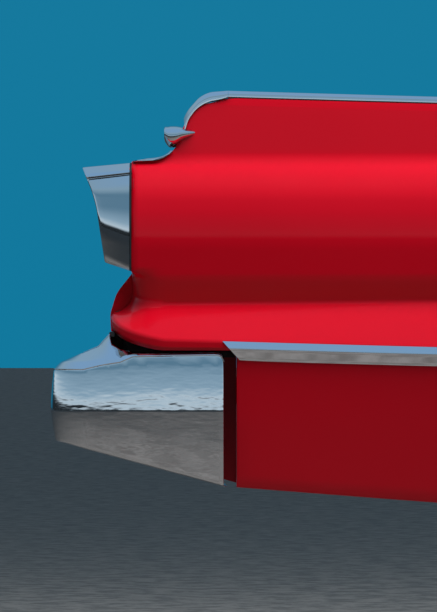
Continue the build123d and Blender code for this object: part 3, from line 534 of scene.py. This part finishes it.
def chrome_plate(name, wave, wave_depth, drawn=(1.0, 1.0, 1.0)):
    """Bright chromium: near mirror, with the faint waviness and the drift in polish of plated metal."""
    material, nodes, links, shader, place = finish_nodes(name)
    stretch = nodes.new("ShaderNodeMapping")
    stretch.inputs["Scale"].default_value = drawn
    links.new(place, stretch.inputs["Vector"])
    shader.inputs["Metallic"].default_value = 1.0
    tone = tinted(nodes, links, cloud(nodes, links, place, 6.0), (0.62, 0.63, 0.65), (0.67, 0.68, 0.70))
    polish = ranged(nodes, links, cloud(nodes, links, place, 22.0, 4.0), 0.03, 0.07)
    waves = cloud(nodes, links, stretch.outputs["Vector"], wave, 1.5)
    links.new(tone, shader.inputs["Base Color"])
    links.new(polish, shader.inputs["Roughness"])
    links.new(relief(nodes, links, waves, wave_depth, 0.5), shader.inputs["Normal"])
    return material


trim_chrome = chrome_plate("trim_chrome", 14.0, 0.0006)


def evenly(line, count):
    """Points spaced evenly along a line."""
    lengths = [0.0]
    for a, b in zip(line, line[1:]):
        lengths.append(lengths[-1] + math.dist(a, b))
    points = []
    for i in range(count):
        goal = lengths[-1] * i / (count - 1)
        j = min(max(k for k in range(len(lengths)) if lengths[k] <= goal), len(line) - 2)
        share = (goal - lengths[j]) / (lengths[j + 1] - lengths[j])
        points.append(tuple(a + share * (b - a) for a, b in zip(line[j], line[j + 1])))
    return points


def capped(bm, rings):
    """A solid drawn through closed rings, with its two ends closed."""
    loft(bm, rings, closed=True)
    bmesh.ops.holes_fill(bm, edges=[e for e in bm.edges if e.is_boundary], sides=0)
    bmesh.ops.recalc_face_normals(bm, faces=bm.faces)


def hood_line(half, height):
    """A moulding's section: a small rolled foot, a straight skirt, a rounded brow and a domed top."""
    side = [
        (half + 0.7, 0.0, 0, 0),
        (half + 0.7, 0.2 * height, 0.5, 0),
        (half, 0.27 * height, 0.5, 0),
        (half, 0.5 * height, 0.3 * height, 0),
        (0.62 * half, 0.97 * height, 5, 1),
        (0.0, height, 0, 0),
    ]
    right = rounded(side, 4)
    return right + [(-out, up) for out, up in reversed(right[:-1])]


bm = bmesh.new()
rings = []
for x in (CROWN_REAR_X, *[c for c in columns if CROWN_REAR_X < c < CROWN_FRONT_X], CROWN_FRONT_X):
    crown = fair(SIDE_ROWS, x)[1]
    rings.append([at(x, out, crown + 0.3 + up) for out, up in hood_line(CROWN_HALF, CROWN_H)])
capped(bm, rings)
smooth_faces(bm, 28)
finished("crown_strip", bm, trim_chrome, ["crown_moulding_front"])


def soft_black(name, rough, grain_depth):
    """Black rubber or bitumen: matt, with a fine grain."""
    material, nodes, links, shader, place = finish_nodes(name)
    drift, patches = cloud(nodes, links, place, 30.0), cloud(nodes, links, place, 60.0)
    grain = cloud(nodes, links, place, 420.0, 3.0)
    tone = tinted(nodes, links, drift, (0.016, 0.016, 0.017), (0.028, 0.028, 0.029))
    links.new(tone, shader.inputs["Base Color"])
    links.new(ranged(nodes, links, patches, rough - 0.08, rough + 0.08), shader.inputs["Roughness"])
    links.new(relief(nodes, links, grain, grain_depth), shader.inputs["Normal"])
    return material


seal_rubber = soft_black("seal_rubber", 0.62, 0.0002)
bm = bmesh.new()
rings = []
for x in (CROWN_REAR_X - SEAL_BACK, *[c for c in columns if CROWN_REAR_X < c < CROWN_FRONT_X], CROWN_FRONT_X):
    crown = fair(SIDE_ROWS, max(x, CROWN_REAR_X))[1] - max(0.0, CROWN_REAR_X - x) * SEAL_FALL
    rings.append([at(x, out, crown + up) for out, up in SEAL_LINE])
capped(bm, rings)
smooth_faces(bm, 28)
finished("crown_seal", bm, seal_rubber, [])


def edge_moulding(name, outer, inner, node, half_at):
    """A moulding over the fin's rear edge, between its outer line and the edge itself."""
    bm = bmesh.new()
    rings = []
    for (x_far, z_far), (x_near, z_near) in zip(outer, inner):
        height = max(math.dist((x_far, z_far), (x_near, z_near)), 0.8)
        rise = ((x_far - x_near) / height, (z_far - z_near) / height)
        line = hood_line(half_at(z_near), height)
        rings.append([at(x_near + up * rise[0], out, z_near + up * rise[1]) for out, up in line])
    capped(bm, rings)
    smooth_faces(bm, 28)
    return finished(name, bm, trim_chrome, [node])


notch_upper = [(HORN_FOOT_X, HORN_FOOT_Z), *[p for p in notch_line if p[1] > HORN_FOOT_Z]]
horn_inner = []
for i, (x, z) in enumerate(evenly(notch_upper, EDGE_POINTS)):
    share = i / (EDGE_POINTS - 1)
    lean = (1 - share) ** 0.5
    horn_inner.append((x - 0.2 + 5.5 * lean, z + 0.3 - 6.0 * (1 - lean) * (1 - share**6)))
horn_outer = evenly([p for p in reversed(rounded(HORN, 12)) if p[1] > HORN_FOOT_Z], EDGE_POINTS)
edge_moulding(
    "fin_horn", horn_outer, horn_inner, "crown_moulding_tail",
    lambda z: HORN_HALF + max(0.0, HORN_TOP_Z - z) * HORN_FLARE,
)
notch_lower = [p for p in notch_line if p[0] > 1.0 and p[1] < SWEEP_TOP_Z - 1]
sweep_inner = [(x, z + 0.3) for x, z in evenly([(1.0, NOTCH_FOOT_Z), *notch_lower], EDGE_POINTS)]
sweep_line = [p for p in reversed(rounded(SWEEP, 12)) if p[0] > 0.5 and p[1] < SWEEP_TOP_Z]
edge_moulding(
    "fin_sweep", evenly(sweep_line, EDGE_POINTS), sweep_inner, "crown_moulding_lower",
    lambda z: SWEEP_HALF + max(0.0, SWEEP_TOP_Z - z) * SWEEP_FLARE,
)

# Spear moulding: the bright strip along the ledge, in two flat facets that meet in a ridge.
# Rolled from brass strip and plated, clipped to the side, its rear end mitred and closed.
SPEAR_STAND, SPEAR_RIDGE, SPEAR_H, SPEAR_REAR_X = 10.7, 13.0, 35.0, 164.0
MITRE_BACK, MITRE_LENGTH = 32.0, 90.0
bm = bmesh.new()
rings = []
for x in (SPEAR_REAR_X, *[c for c in columns if SPEAR_REAR_X < c < CROWN_FRONT_X], CROWN_FRONT_X):
    row = fair(SIDE_ROWS, x)
    out, z = row[5] + 0.3, row[4]
    fall = (out - FLANK[0]) / (z - FLANK[1])
    spear_foot = out - fall * SPEAR_H
    line = rounded([
        (out - 1, z - 1.5, 0, 0),
        (out, z + 0.5, 0.6, 2),
        (out + SPEAR_STAND, z - SPEAR_RIDGE, 1.5, 3),
        (spear_foot + 0.9, z - SPEAR_H, 0.6, 0),
        (spear_foot, z - SPEAR_H + 1.5, 0, 0),
    ], 3)
    ring = []
    for a, b in line:
        slant = min(max((z + 0.5 - b) / SPEAR_H, 0), 1)
        slid = x + max(0.0, 1 - (x - SPEAR_REAR_X) / MITRE_LENGTH) * MITRE_BACK * slant
        ring.append(at(slid, a, b))
    rings.append(ring)
capped(bm, rings)
smooth_faces(bm, 24)
finished("spear_strip", bm, trim_chrome, ["spear_moulding"])

# Tail lamp hood: a die-cast shell, chromium plated, screwed to the wing through a rubber joint.
# Its sides taper to a raked rear edge with a rolled lip, and a crisp ridge runs along each brow.
BEZEL_X, BEZEL_END_X, HOOD_WALL = -3.3, -95.0, 4.5
HOOD_LIP = [(0.3, 1.2), (1.2, 0.3), (2.2, 0.0), (3.4, 0.4), (HOOD_WALL, 1.8)]
# out, z, radius of each corner, from the inner foot up, over the brow and down the outer side
LAMP_FRONT = [
    (-78.0, 64.0, 5), (-78.0, 224.0, 3), (-60.0, 246.5, 14), (-38.0, 260.5, 12), (20.0, 260.5, 14),
    (51.4, 246.6, 1.0), (55.6, 242.2, 0.9), (52.6, 239.2, 0.8), (56.4, 236.4, 1.0),
    (70.0, 213.0, 60), (82.0, 140.0, 250), (76.0, 64.0, 6),
]
LAMP_REAR = [
    (-62.0, 94.7, 5), (-62.0, 222.7, 3), (-47.6, 240.7, 12), (-30.0, 251.9, 10), (22.0, 251.9, 14),
    (46.2, 238.0, 1.0), (50.6, 231.8, 0.9), (47.4, 228.6, 0.8), (51.4, 225.0, 1.0),
    (58.0, 206.0, 60), (66.0, 156.0, 130), (52.0, 94.7, 22),
]
LAMP_CUTS = (10, 2, 1, 4, 3, 0, 0, 0, 2, 4, 6, 6)
VISOR = [(-95.5, 264.0, 0, 0), (-66.0, 194.0, 200, 0), (-44.0, 50.0, 0, 0)]
visor_line = rounded(VISOR, 16)


def lamp_section(outline, gap):
    """One of the lamp's closed outlines, some way in from its outer face."""
    corners = [(a, b, max(r - gap, 0.8) if r > 1.5 else r) for a, b, r in outline]
    moved = []
    for i, (a, b, r) in enumerate(corners):
        before, after = corners[i - 1], corners[(i + 1) % len(corners)]
        u = (Vector((a, b)) - Vector(before[:2])).normalized()
        v = (Vector(after[:2]) - Vector((a, b))).normalized()
        reach = gap / (1 + u.dot(v))
        moved.append((a + (u.y + v.y) * reach, b - (u.x + v.x) * reach, r))
    start = ((moved[0][0] + moved[-1][0]) / 2, moved[0][1], 0, 6)
    around = [(*corner, cuts) for corner, cuts in zip(moved, LAMP_CUTS)]
    return rounded([start, *around, (start[0] + 0.02, start[1], 0, 0)], 6)[:-1]


def lamp_ring(gap, x_of):
    """A ring of the lamp where each point lies at its own x along the taper."""
    ring = []
    for (out, z), (rear_out, rear_z) in zip(lamp_section(LAMP_FRONT, gap), lamp_section(LAMP_REAR, gap)):
        x = BEZEL_X
        for _ in range(8):
            share = (BEZEL_X - x) / (BEZEL_X - BEZEL_END_X)
            here = (out + share * (rear_out - out), z + share * (rear_z - z))
            x = x_of(here[1])
        ring.append((x, *here))
    return ring


def visor_x(z):
    """Where the hood's rear edge is at height z."""
    return next(across(a, b, z) for a, b in zip(visor_line, visor_line[1:]) if b[1] <= z <= a[1])


def hood_at(share, ahead=0.0):
    """The x, for any height, at a share of the way back from the joint to just ahead of the rear edge."""
    return lambda z: BEZEL_X + (visor_x(z) + ahead - BEZEL_X) * share


bm = bmesh.new()
shell = [(HOOD_WALL, hood_at(0)), (0.6, hood_at(0)), (0.0, lambda z: BEZEL_X - 0.6)]
shell += [(0.0, hood_at(share)) for share in (0.2, 0.4, 0.6, 0.8, 0.93)]
shell += [(gap, hood_at(1, ahead)) for gap, ahead in HOOD_LIP]
shell += [(HOOD_WALL, hood_at(share)) for share in (0.8, 0.5, 0.2, 0)]
rings = [[at(*place) for place in lamp_ring(gap, x_of)] for gap, x_of in shell]
loft(bm, rings, closed=True)
bmesh.ops.remove_doubles(bm, verts=bm.verts, dist=0.00002)
bmesh.ops.recalc_face_normals(bm, faces=bm.faces)
smooth_faces(bm, 40)
finished("lamp_hood", bm, trim_chrome, ["lamp_bezel"])

# Bumper end: one heavy pressing, 3 mm, chromium plated, that wraps from the wheel side round to the
# rear. A soft crease runs along its middle, its foot turns in, and its rear rises to a shelf.
BUMPER_OUT, BUMPER_R, BUMPER_CORNER_X, BUMPER_CREASE_Z = 130.0, 60.0, -86.0, -189.0
BEND_SHARE, SHOULDER_SHARE, CORNER_TOP, CORNER_FOOT_RISE = 0.3, 0.72, (-58.0, -83.8), 14.5
# x, top, top z, shoulder, shoulder z, shoulder radius, foot, foot z
BUMPER_SIDE = [
    (-86.0, -60.5, -82.8, -7.2, -105.0, 36.0, -8.4, -257.0),
    (-60.0, -60.5, -72.0, -7.5, -101.0, 28.5, -9.3, -264.1),
    (-40.0, -60.5, -50.0, -7.7, -99.5, 22.7, -10.0, -269.5),
    (-36.0, -41.5, -68.0, -7.7, -99.0, 21.5, -10.1, -270.6),
    (-20.0, -32.0, -77.5, -7.9, -97.0, 17.0, -10.7, -275.0),
    (4.0, -36.0, -82.2, -8.8, -86.5, 10.0, -11.5, -281.5),
    (167.0, -34.0, -80.0, -9.0, -84.0, 9.0, -17.0, -326.0),
]
# x, how far in, how far down
BUMPER_FRONT_EDGE = [
    (167, 22.0, 14.0), (167, 3.0, 14.0), (166.7, 1.8, 10.7),
    (165.8, 0.9, 7.6), (163, 0.0, 3.6), (158, 0.0, 0.9),
]
BUMPER_COLUMNS = [
    150, 130, 110, 90, 70, 50, 30, 15, 4, -4, -12, -20, -28, -36, -38, -40, -46, -53, -60, -68, -77,
]


def beaded(before, shoulder, radius, after):
    """A rounded shoulder with a fine raised bead and a groove where the rounding runs into the face."""
    u = (Vector(shoulder) - Vector(before)).normalized()
    v = (Vector(after) - Vector(shoulder)).normalized()
    out = Vector((-v.y, v.x))
    turn = radius * math.tan(u.angle(v) / 2)
    start, end = Vector(shoulder) - u * 0.8 * turn, Vector(shoulder) + v * 0.5 * turn
    places = [(*start, 0.8 * radius, 1)]
    for down, up, bend in ((0.0, 0.0, 1.0), (1.2, 1.1, 0.7), (2.6, -0.9, 0.7), (4.6, 0.0, 1.0)):
        places.append((*(end + v * down + out * up), bend, 0))
    return places


def bumper_section(row):
    """The bumper's outer face at one place: flange, bend, bead, shoulder, crease, foot and its return."""
    _, top, top_z, shoulder, shoulder_z, shoulder_r, foot, foot_z = row
    bend = (top + BEND_SHARE * (shoulder - top), top_z + BEND_SHARE * (shoulder_z - top_z))
    middle = (0.5 * shoulder + 2.2, 0.5 * (shoulder_z + BUMPER_CREASE_Z))
    return rounded([
        (top, top_z, 0, 2),
        (*bend, 2, 2),
        *beaded(bend, (shoulder, shoulder_z), SHOULDER_SHARE * shoulder_r, middle),
        (*middle, 600, 2),
        (0.0, BUMPER_CREASE_Z, 30, 2),
        (0.5 * foot + 1.6, 0.5 * (foot_z + BUMPER_CREASE_Z), 500, 2),
        (foot, foot_z, 6, 3),
        (foot - 22, foot_z + 4, 0, 0),
    ])


def straight(rows, x):
    """The row at x, in a straight line between the two rows beside it."""
    a, b = next((a, b) for a, b in zip(rows, rows[1:]) if x <= b[0])
    return [p + (x - a[0]) / (b[0] - a[0]) * (q - p) for p, q in zip(a, b)]


bm = bmesh.new()
rings = []
for x, in_by, dropped in BUMPER_FRONT_EDGE:
    row = straight(BUMPER_SIDE, x)
    row[2], row[4] = row[2] - dropped, row[4] - dropped
    rings.append([at(x, BUMPER_OUT + out - in_by, z) for out, z in bumper_section(row)])
for x in (*BUMPER_COLUMNS, BUMPER_CORNER_X):
    rings.append([at(x, BUMPER_OUT + out, z) for out, z in bumper_section(straight(BUMPER_SIDE, x))])
for angle in range(6, 91, 6):
    s, c = math.sin(math.radians(angle)), math.cos(math.radians(angle))
    row = list(BUMPER_SIDE[0])
    row[1:3] = CORNER_TOP
    row[7] += CORNER_FOOT_RISE * s
    reach = [(BUMPER_R + out, z) for out, z in bumper_section(row)]
    rings.append([at(BUMPER_CORNER_X - r * s, BUMPER_OUT - BUMPER_R + r * c, z) for r, z in reach])
loft(bm, rings)
rear_line = rounded([
    (-106.0, -50.0, 0, 3),
    (-86.0, -72.2, 16, 3),
    *beaded((-86.0, -72.2), (-7.2, -105.0), SHOULDER_SHARE * 36.0, (-1.4, -147.0)),
    (-1.4, -147.0, 600, 2),
    (0.0, BUMPER_CREASE_Z, 30, 2),
    (-2.6, -215.75, 500, 2),
    (-8.4, -242.5, 6, 3),
    (-30.4, -238.5, 0, 0),
])
rear_x = BUMPER_CORNER_X - BUMPER_R
rear_outs = (70, 50, 10, -30, -70, -110, -138)
loft(bm, [[at(rear_x - back, out, z) for back, z in rear_line] for out in rear_outs])
bmesh.ops.remove_doubles(bm, verts=bm.verts, dist=0.0004)
bmesh.ops.recalc_face_normals(bm, faces=bm.faces)
if max(bm.faces, key=lambda f: abs(f.normal.y) * f.calc_area()).normal.y > 0:
    bmesh.ops.reverse_faces(bm, faces=bm.faces)
smooth_faces(bm)
bumper_chrome = chrome_plate("bumper_chrome", 34.0, 0.0004, (1.0, 1.0, 3.0))
finished("bumper_end_shell", bm, bumper_chrome, ["bumper_end"], 3.0)

# Fin bullet: a pressed ornament that straddles the fin's rear edge, chromium plated. It has a dished
# rear face, a flat-topped beak of a nose and a belly that runs up to it, and is held by two studs.
BULLET_POINTS, BULLET_FLATNESS = 56, 0.86
# x, middle's height, half height, half width, from the middle of the dish to the tip
BULLET_PLACES = [
    (64.5, 313.0, 5.0, 20.0), (63.6, 313.2, 7.5, 26.0), (60.6, 313.4, 10.0, 30.4),
    (59.2, 313.5, 11.0, 31.4), (58.9, 313.6, 12.2, 32.5), (60.4, 312.9, 14.4, 34.2),
    (63.0, 310.8, 16.3, 35.4), (66.5, 308.8, 18.6, 36.4), (70.0, 308.2, 19.9, 37.2),
    (76.8, 308.4, 19.8, 37.8), (82.0, 309.3, 18.6, 37.4), (87.7, 311.1, 15.9, 36.0),
    (94.0, 312.4, 13.1, 33.4), (100.3, 313.2, 11.3, 30.4), (107.0, 314.0, 9.2, 27.0),
    (112.4, 314.7, 7.4, 23.6), (116.6, 315.0, 5.8, 20.0), (119.2, 315.0, 4.2, 16.4),
    (120.8, 315.0, 2.2, 12.0),
]


def bullet_ring(x, middle, half_height, half_width):
    """One oval ring of the ornament, flatter than an ellipse above and below."""
    ring = []
    for i in range(BULLET_POINTS):
        turn = math.tau * i / BULLET_POINTS
        s, c = math.sin(turn), math.cos(turn)
        out = math.copysign(abs(c) ** BULLET_FLATNESS, c) * half_width
        ring.append(at(x, out, middle + s * half_height))
    return ring


bm = bmesh.new()
capped(bm, [bullet_ring(*place) for place in BULLET_PLACES])
smooth_faces(bm, 46)
finished("fin_ornament", bm, trim_chrome, ["fin_bullet"])

# Lamp glass: one red moulding, 3 mm thick, set back inside the hood. Horizontal prism ribs are
# moulded into it, and two dimples show where the bulbs sit.
GLASS_GAP, RIB_CREST, RIB_VALLEY, GLASS_ROWS, GLASS_COLUMNS = 5.3, 14.2, 15.5, 97, 15
BULBS, DIMPLE_R, DIMPLE_DEPTH = ((4.0, 195.0), (4.0, 122.0)), 17, 2.2


def glass_red(name):
    """Red lamp glass: clear, deep in colour, with fine moulding marks."""
    material, nodes, links, shader, place = finish_nodes(name)
    tone = tinted(nodes, links, cloud(nodes, links, place, 12.0), (0.80, 0.010, 0.012), (0.70, 0.008, 0.010))
    links.new(tone, shader.inputs["Base Color"])
    links.new(ranged(nodes, links, cloud(nodes, links, place, 70.0), 0.05, 0.12), shader.inputs["Roughness"])
    links.new(relief(nodes, links, cloud(nodes, links, place, 300.0), 0.00008), shader.inputs["Normal"])
    shader.inputs["Transmission Weight"].default_value = 0.35
    shader.inputs["IOR"].default_value = 1.52
    return material


def glass_row(z, ahead):
    """A row of places across the glass at height z, from the hood's one wall to the other."""
    ring = glass_rings[ahead]
    sides = [(p, q) for p, q in zip(ring, ring[1:] + ring[:1]) if (p[2] - z) * (q[2] - z) < 0]
    outs = [across(p[1:], q[1:], z) for p, q in sides]
    low, high = min(outs), max(outs)
    row = []
    for i in range(GLASS_COLUMNS):
        out = low + (high - low) * i / (GLASS_COLUMNS - 1)
        dimple = sum(max(0.0, 1 - math.dist((out, z), bulb) / DIMPLE_R) for bulb in BULBS)
        row.append(at(visor_x(z) + ahead + DIMPLE_DEPTH * dimple, out, z))
    return row


glass_rings = {}
for depth in (RIB_CREST, RIB_VALLEY):
    glass_rings[depth] = lamp_ring(GLASS_GAP, lambda z: visor_x(z) + depth)
glass_low = max(min(p[2] for p in ring) for ring in glass_rings.values()) + 0.8
glass_high = min(max(p[2] for p in ring) for ring in glass_rings.values()) - 0.8
bm = bmesh.new()
rows = []
for i in range(GLASS_ROWS):
    z = glass_low + (glass_high - glass_low) * i / (GLASS_ROWS - 1)
    rows.append(glass_row(z, RIB_VALLEY if i % 2 else RIB_CREST))
loft(bm, rows)
bmesh.ops.recalc_face_normals(bm, faces=bm.faces)
if bm.faces[0].normal.x > 0:
    bmesh.ops.reverse_faces(bm, faces=bm.faces)
smooth_faces(bm, 60)
finished("lamp_glass_ribbed", bm, glass_red("lamp_glass"), ["lamp_lens"], 3.0)

# Lamp joint, bucket and bulb holders: a moulded rubber ring, a pressed cup in silver enamel and two
# turned brass holders, all behind the glass and fixed by the screws that hold the hood.


def dress(node, material):
    """A CAD node keeps its shape and takes its finish."""
    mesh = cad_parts[node].data
    mesh.materials.clear()
    mesh.materials.append(material)


def plain_metal(name, light, dark, rough, metallic, grain, depth=0.0001):
    """A sprayed or bare metal surface with drift in shade, uneven gloss and a fine grain."""
    material, nodes, links, shader, place = finish_nodes(name)
    drift, patches = cloud(nodes, links, place, 8.0, 4.0), cloud(nodes, links, place, 24.0, 4.0)
    links.new(tinted(nodes, links, drift, light, dark), shader.inputs["Base Color"])
    links.new(ranged(nodes, links, patches, rough - 0.07, rough + 0.08), shader.inputs["Roughness"])
    links.new(relief(nodes, links, cloud(nodes, links, place, grain, 3.0), depth), shader.inputs["Normal"])
    shader.inputs["Metallic"].default_value = metallic
    return material


dress("lamp_gasket", seal_rubber)
dress("lamp_bucket", plain_metal("bucket_silver", (0.74, 0.74, 0.73), (0.66, 0.66, 0.66), 0.34, 0.6, 220.0))
brass = plain_metal("holder_brass", (0.66, 0.53, 0.25), (0.52, 0.40, 0.19), 0.30, 1.0, 120.0)
dress("bulb_socket_upper", brass)
dress("bulb_socket_lower", brass)

# Rain channel, tail panel and gravel pan: pressings welded to the skin and sprayed with it, so they
# have the same enamel, but the gravel pan's red is darkened to about half as painted shade for its recess.
dress("deck_gutter", body_red)
dress("tail_panel", body_red)
# Painted shade: the gravel pan's enamel is a darker red than the body's, for the recess behind the bumper.
dress("gravel_pan", red_enamel("recess_painted_shade_red", (0.40, 0.004, 0.012), (0.30, 0.003, 0.010), 0.46, 0.7))

# Posts and rail: the welded structure inside the wing, 2 mm pressings under a thin satin coat of
# the body colour, with the primer's drift showing through.
inner_red = red_enamel("inner_red", (0.46, 0.006, 0.016), (0.36, 0.005, 0.013), 0.5, 0.35)
for node in ("tail_post", "lock_pillar", "inner_rail"):
    dress(node, inner_red)
dress("striker_plate", plain_metal("striker_steel", (0.60, 0.61, 0.62), (0.50, 0.51, 0.52), 0.32, 1.0, 160.0))

# Wheelhouse: the pressed inner arch, sprayed with black bitumen that keeps stones from ringing on it.
# The coat is thick and stippled.
bitumen = soft_black("underseal", 0.8, 0.0012)
dress("wheelhouse", bitumen)

# Splash plate: a black steel strip that stands on the gravel pan's shelf inside the ledge's lip, with a
# flat end under the tail panel, so that nothing is thrown up between the bumper and the body; its black is
# also painted shade in that slot.
END_OUT, SKIRT_Z, SHELF_Z, WALL_TOP_Z = 2.5, -93.0, -81.9, -47.5
SPLASH_END = [(-34.5, -46.6), (-2.0, -46.6), (-2.0, -81.7), (-43.0, -81.7), (-43.0, -62.0), (-38.0, -51.5)]
SPLASH_FOOT = [
    (-27.5, -146.0, 0, 2), (-27.5, 4.0, 30, 1), (-12.0, 54.0, 30, 1),
    (22.0, 79.0, 40, 1), (60.0, 87.0, 30, 1), (187.0, 87.0, 0, 0),
]
SPLASH_WALL = [
    (-15.0, -146.0, 0, 2), (-15.0, 4.0, 25, 1), (-2.0, 44.0, 25, 1),
    (26.0, 66.0, 30, 1), (60.0, 72.0, 25, 1), (187.0, 72.0, 0, 0),
]
bm = bmesh.new()
bm.faces.new([bm.verts.new(at(x, END_OUT, z)) for x, z in SPLASH_END])
foot_line, wall_line = rounded(SPLASH_FOOT, 6), rounded(SPLASH_WALL, 6)
levels = ((foot_line, SKIRT_Z), (foot_line, SHELF_Z), (wall_line, SHELF_Z), (wall_line, WALL_TOP_Z))
loft(bm, [[at(x, out, z) for x, out in line] for line, z in levels])
bmesh.ops.recalc_face_normals(bm, faces=bm.faces)
if next(f for f in bm.faces if abs(f.normal.z) > 0.9).normal.z > 0:
    bmesh.ops.reverse_faces(bm, faces=bm.faces)
smooth_faces(bm)
# Painted shade: a black sheet that fills the slot behind the bumper, which on the car is dark with shade.
finished("splash_shade_plate", bm, bitumen, [], 2.0)

# Corner joint: a strip of black rubber behind the seam between the wing's tail corner and the tail
# panel. Cut from moulded strip and glued to the inside of the corner.
JOINT_INSIDE = 4.6
bm = bmesh.new()
loft(bm, [corner_ring(angle, JOINT_INSIDE) for angle in (66.0, 73.0, 80.0, 86.0, 89.5)])
bmesh.ops.recalc_face_normals(bm, faces=bm.faces)
smooth_faces(bm)
finished("corner_joint_strip", bm, seal_rubber, [], 1.5)

# Bumper seal: a moulded rubber strip in the joint between the bumper's shelf and the tail panel.
# Its round bead fills the joint, and its foot is pushed over the shelf's front edge.
SEAL_BEAD = [
    (-41.5, -54.5, 0, 0), (-40.0, -47.0, 3, 0), (-36.0, -46.4, 2, 0),
    (-31.0, -49.0, 3, 0), (-31.0, -56.0, 0, 0),
]
bm = bmesh.new()
bead_line = rounded(SEAL_BEAD, 4)
capped(bm, [[at(x, out, z) for x, z in bead_line] for out in (-146.0, -90.0, -30.0, 30.0, 66.0)])
smooth_faces(bm)
finished("bumper_seal", bm, seal_rubber, [])

# Bumper carriers: the forged arm to the chassis, the bar inside the bumper and the side bracket,
# dipped in semi-gloss black and bolted together.
carrier_black = plain_metal(
    "carrier_black", (0.030, 0.030, 0.032), (0.018, 0.018, 0.019), 0.38, 0.0, 90.0, 0.0003
)
for node in ("bumper_arm", "bumper_back_bar", "bumper_side_brace"):
    dress(node, carrier_black)
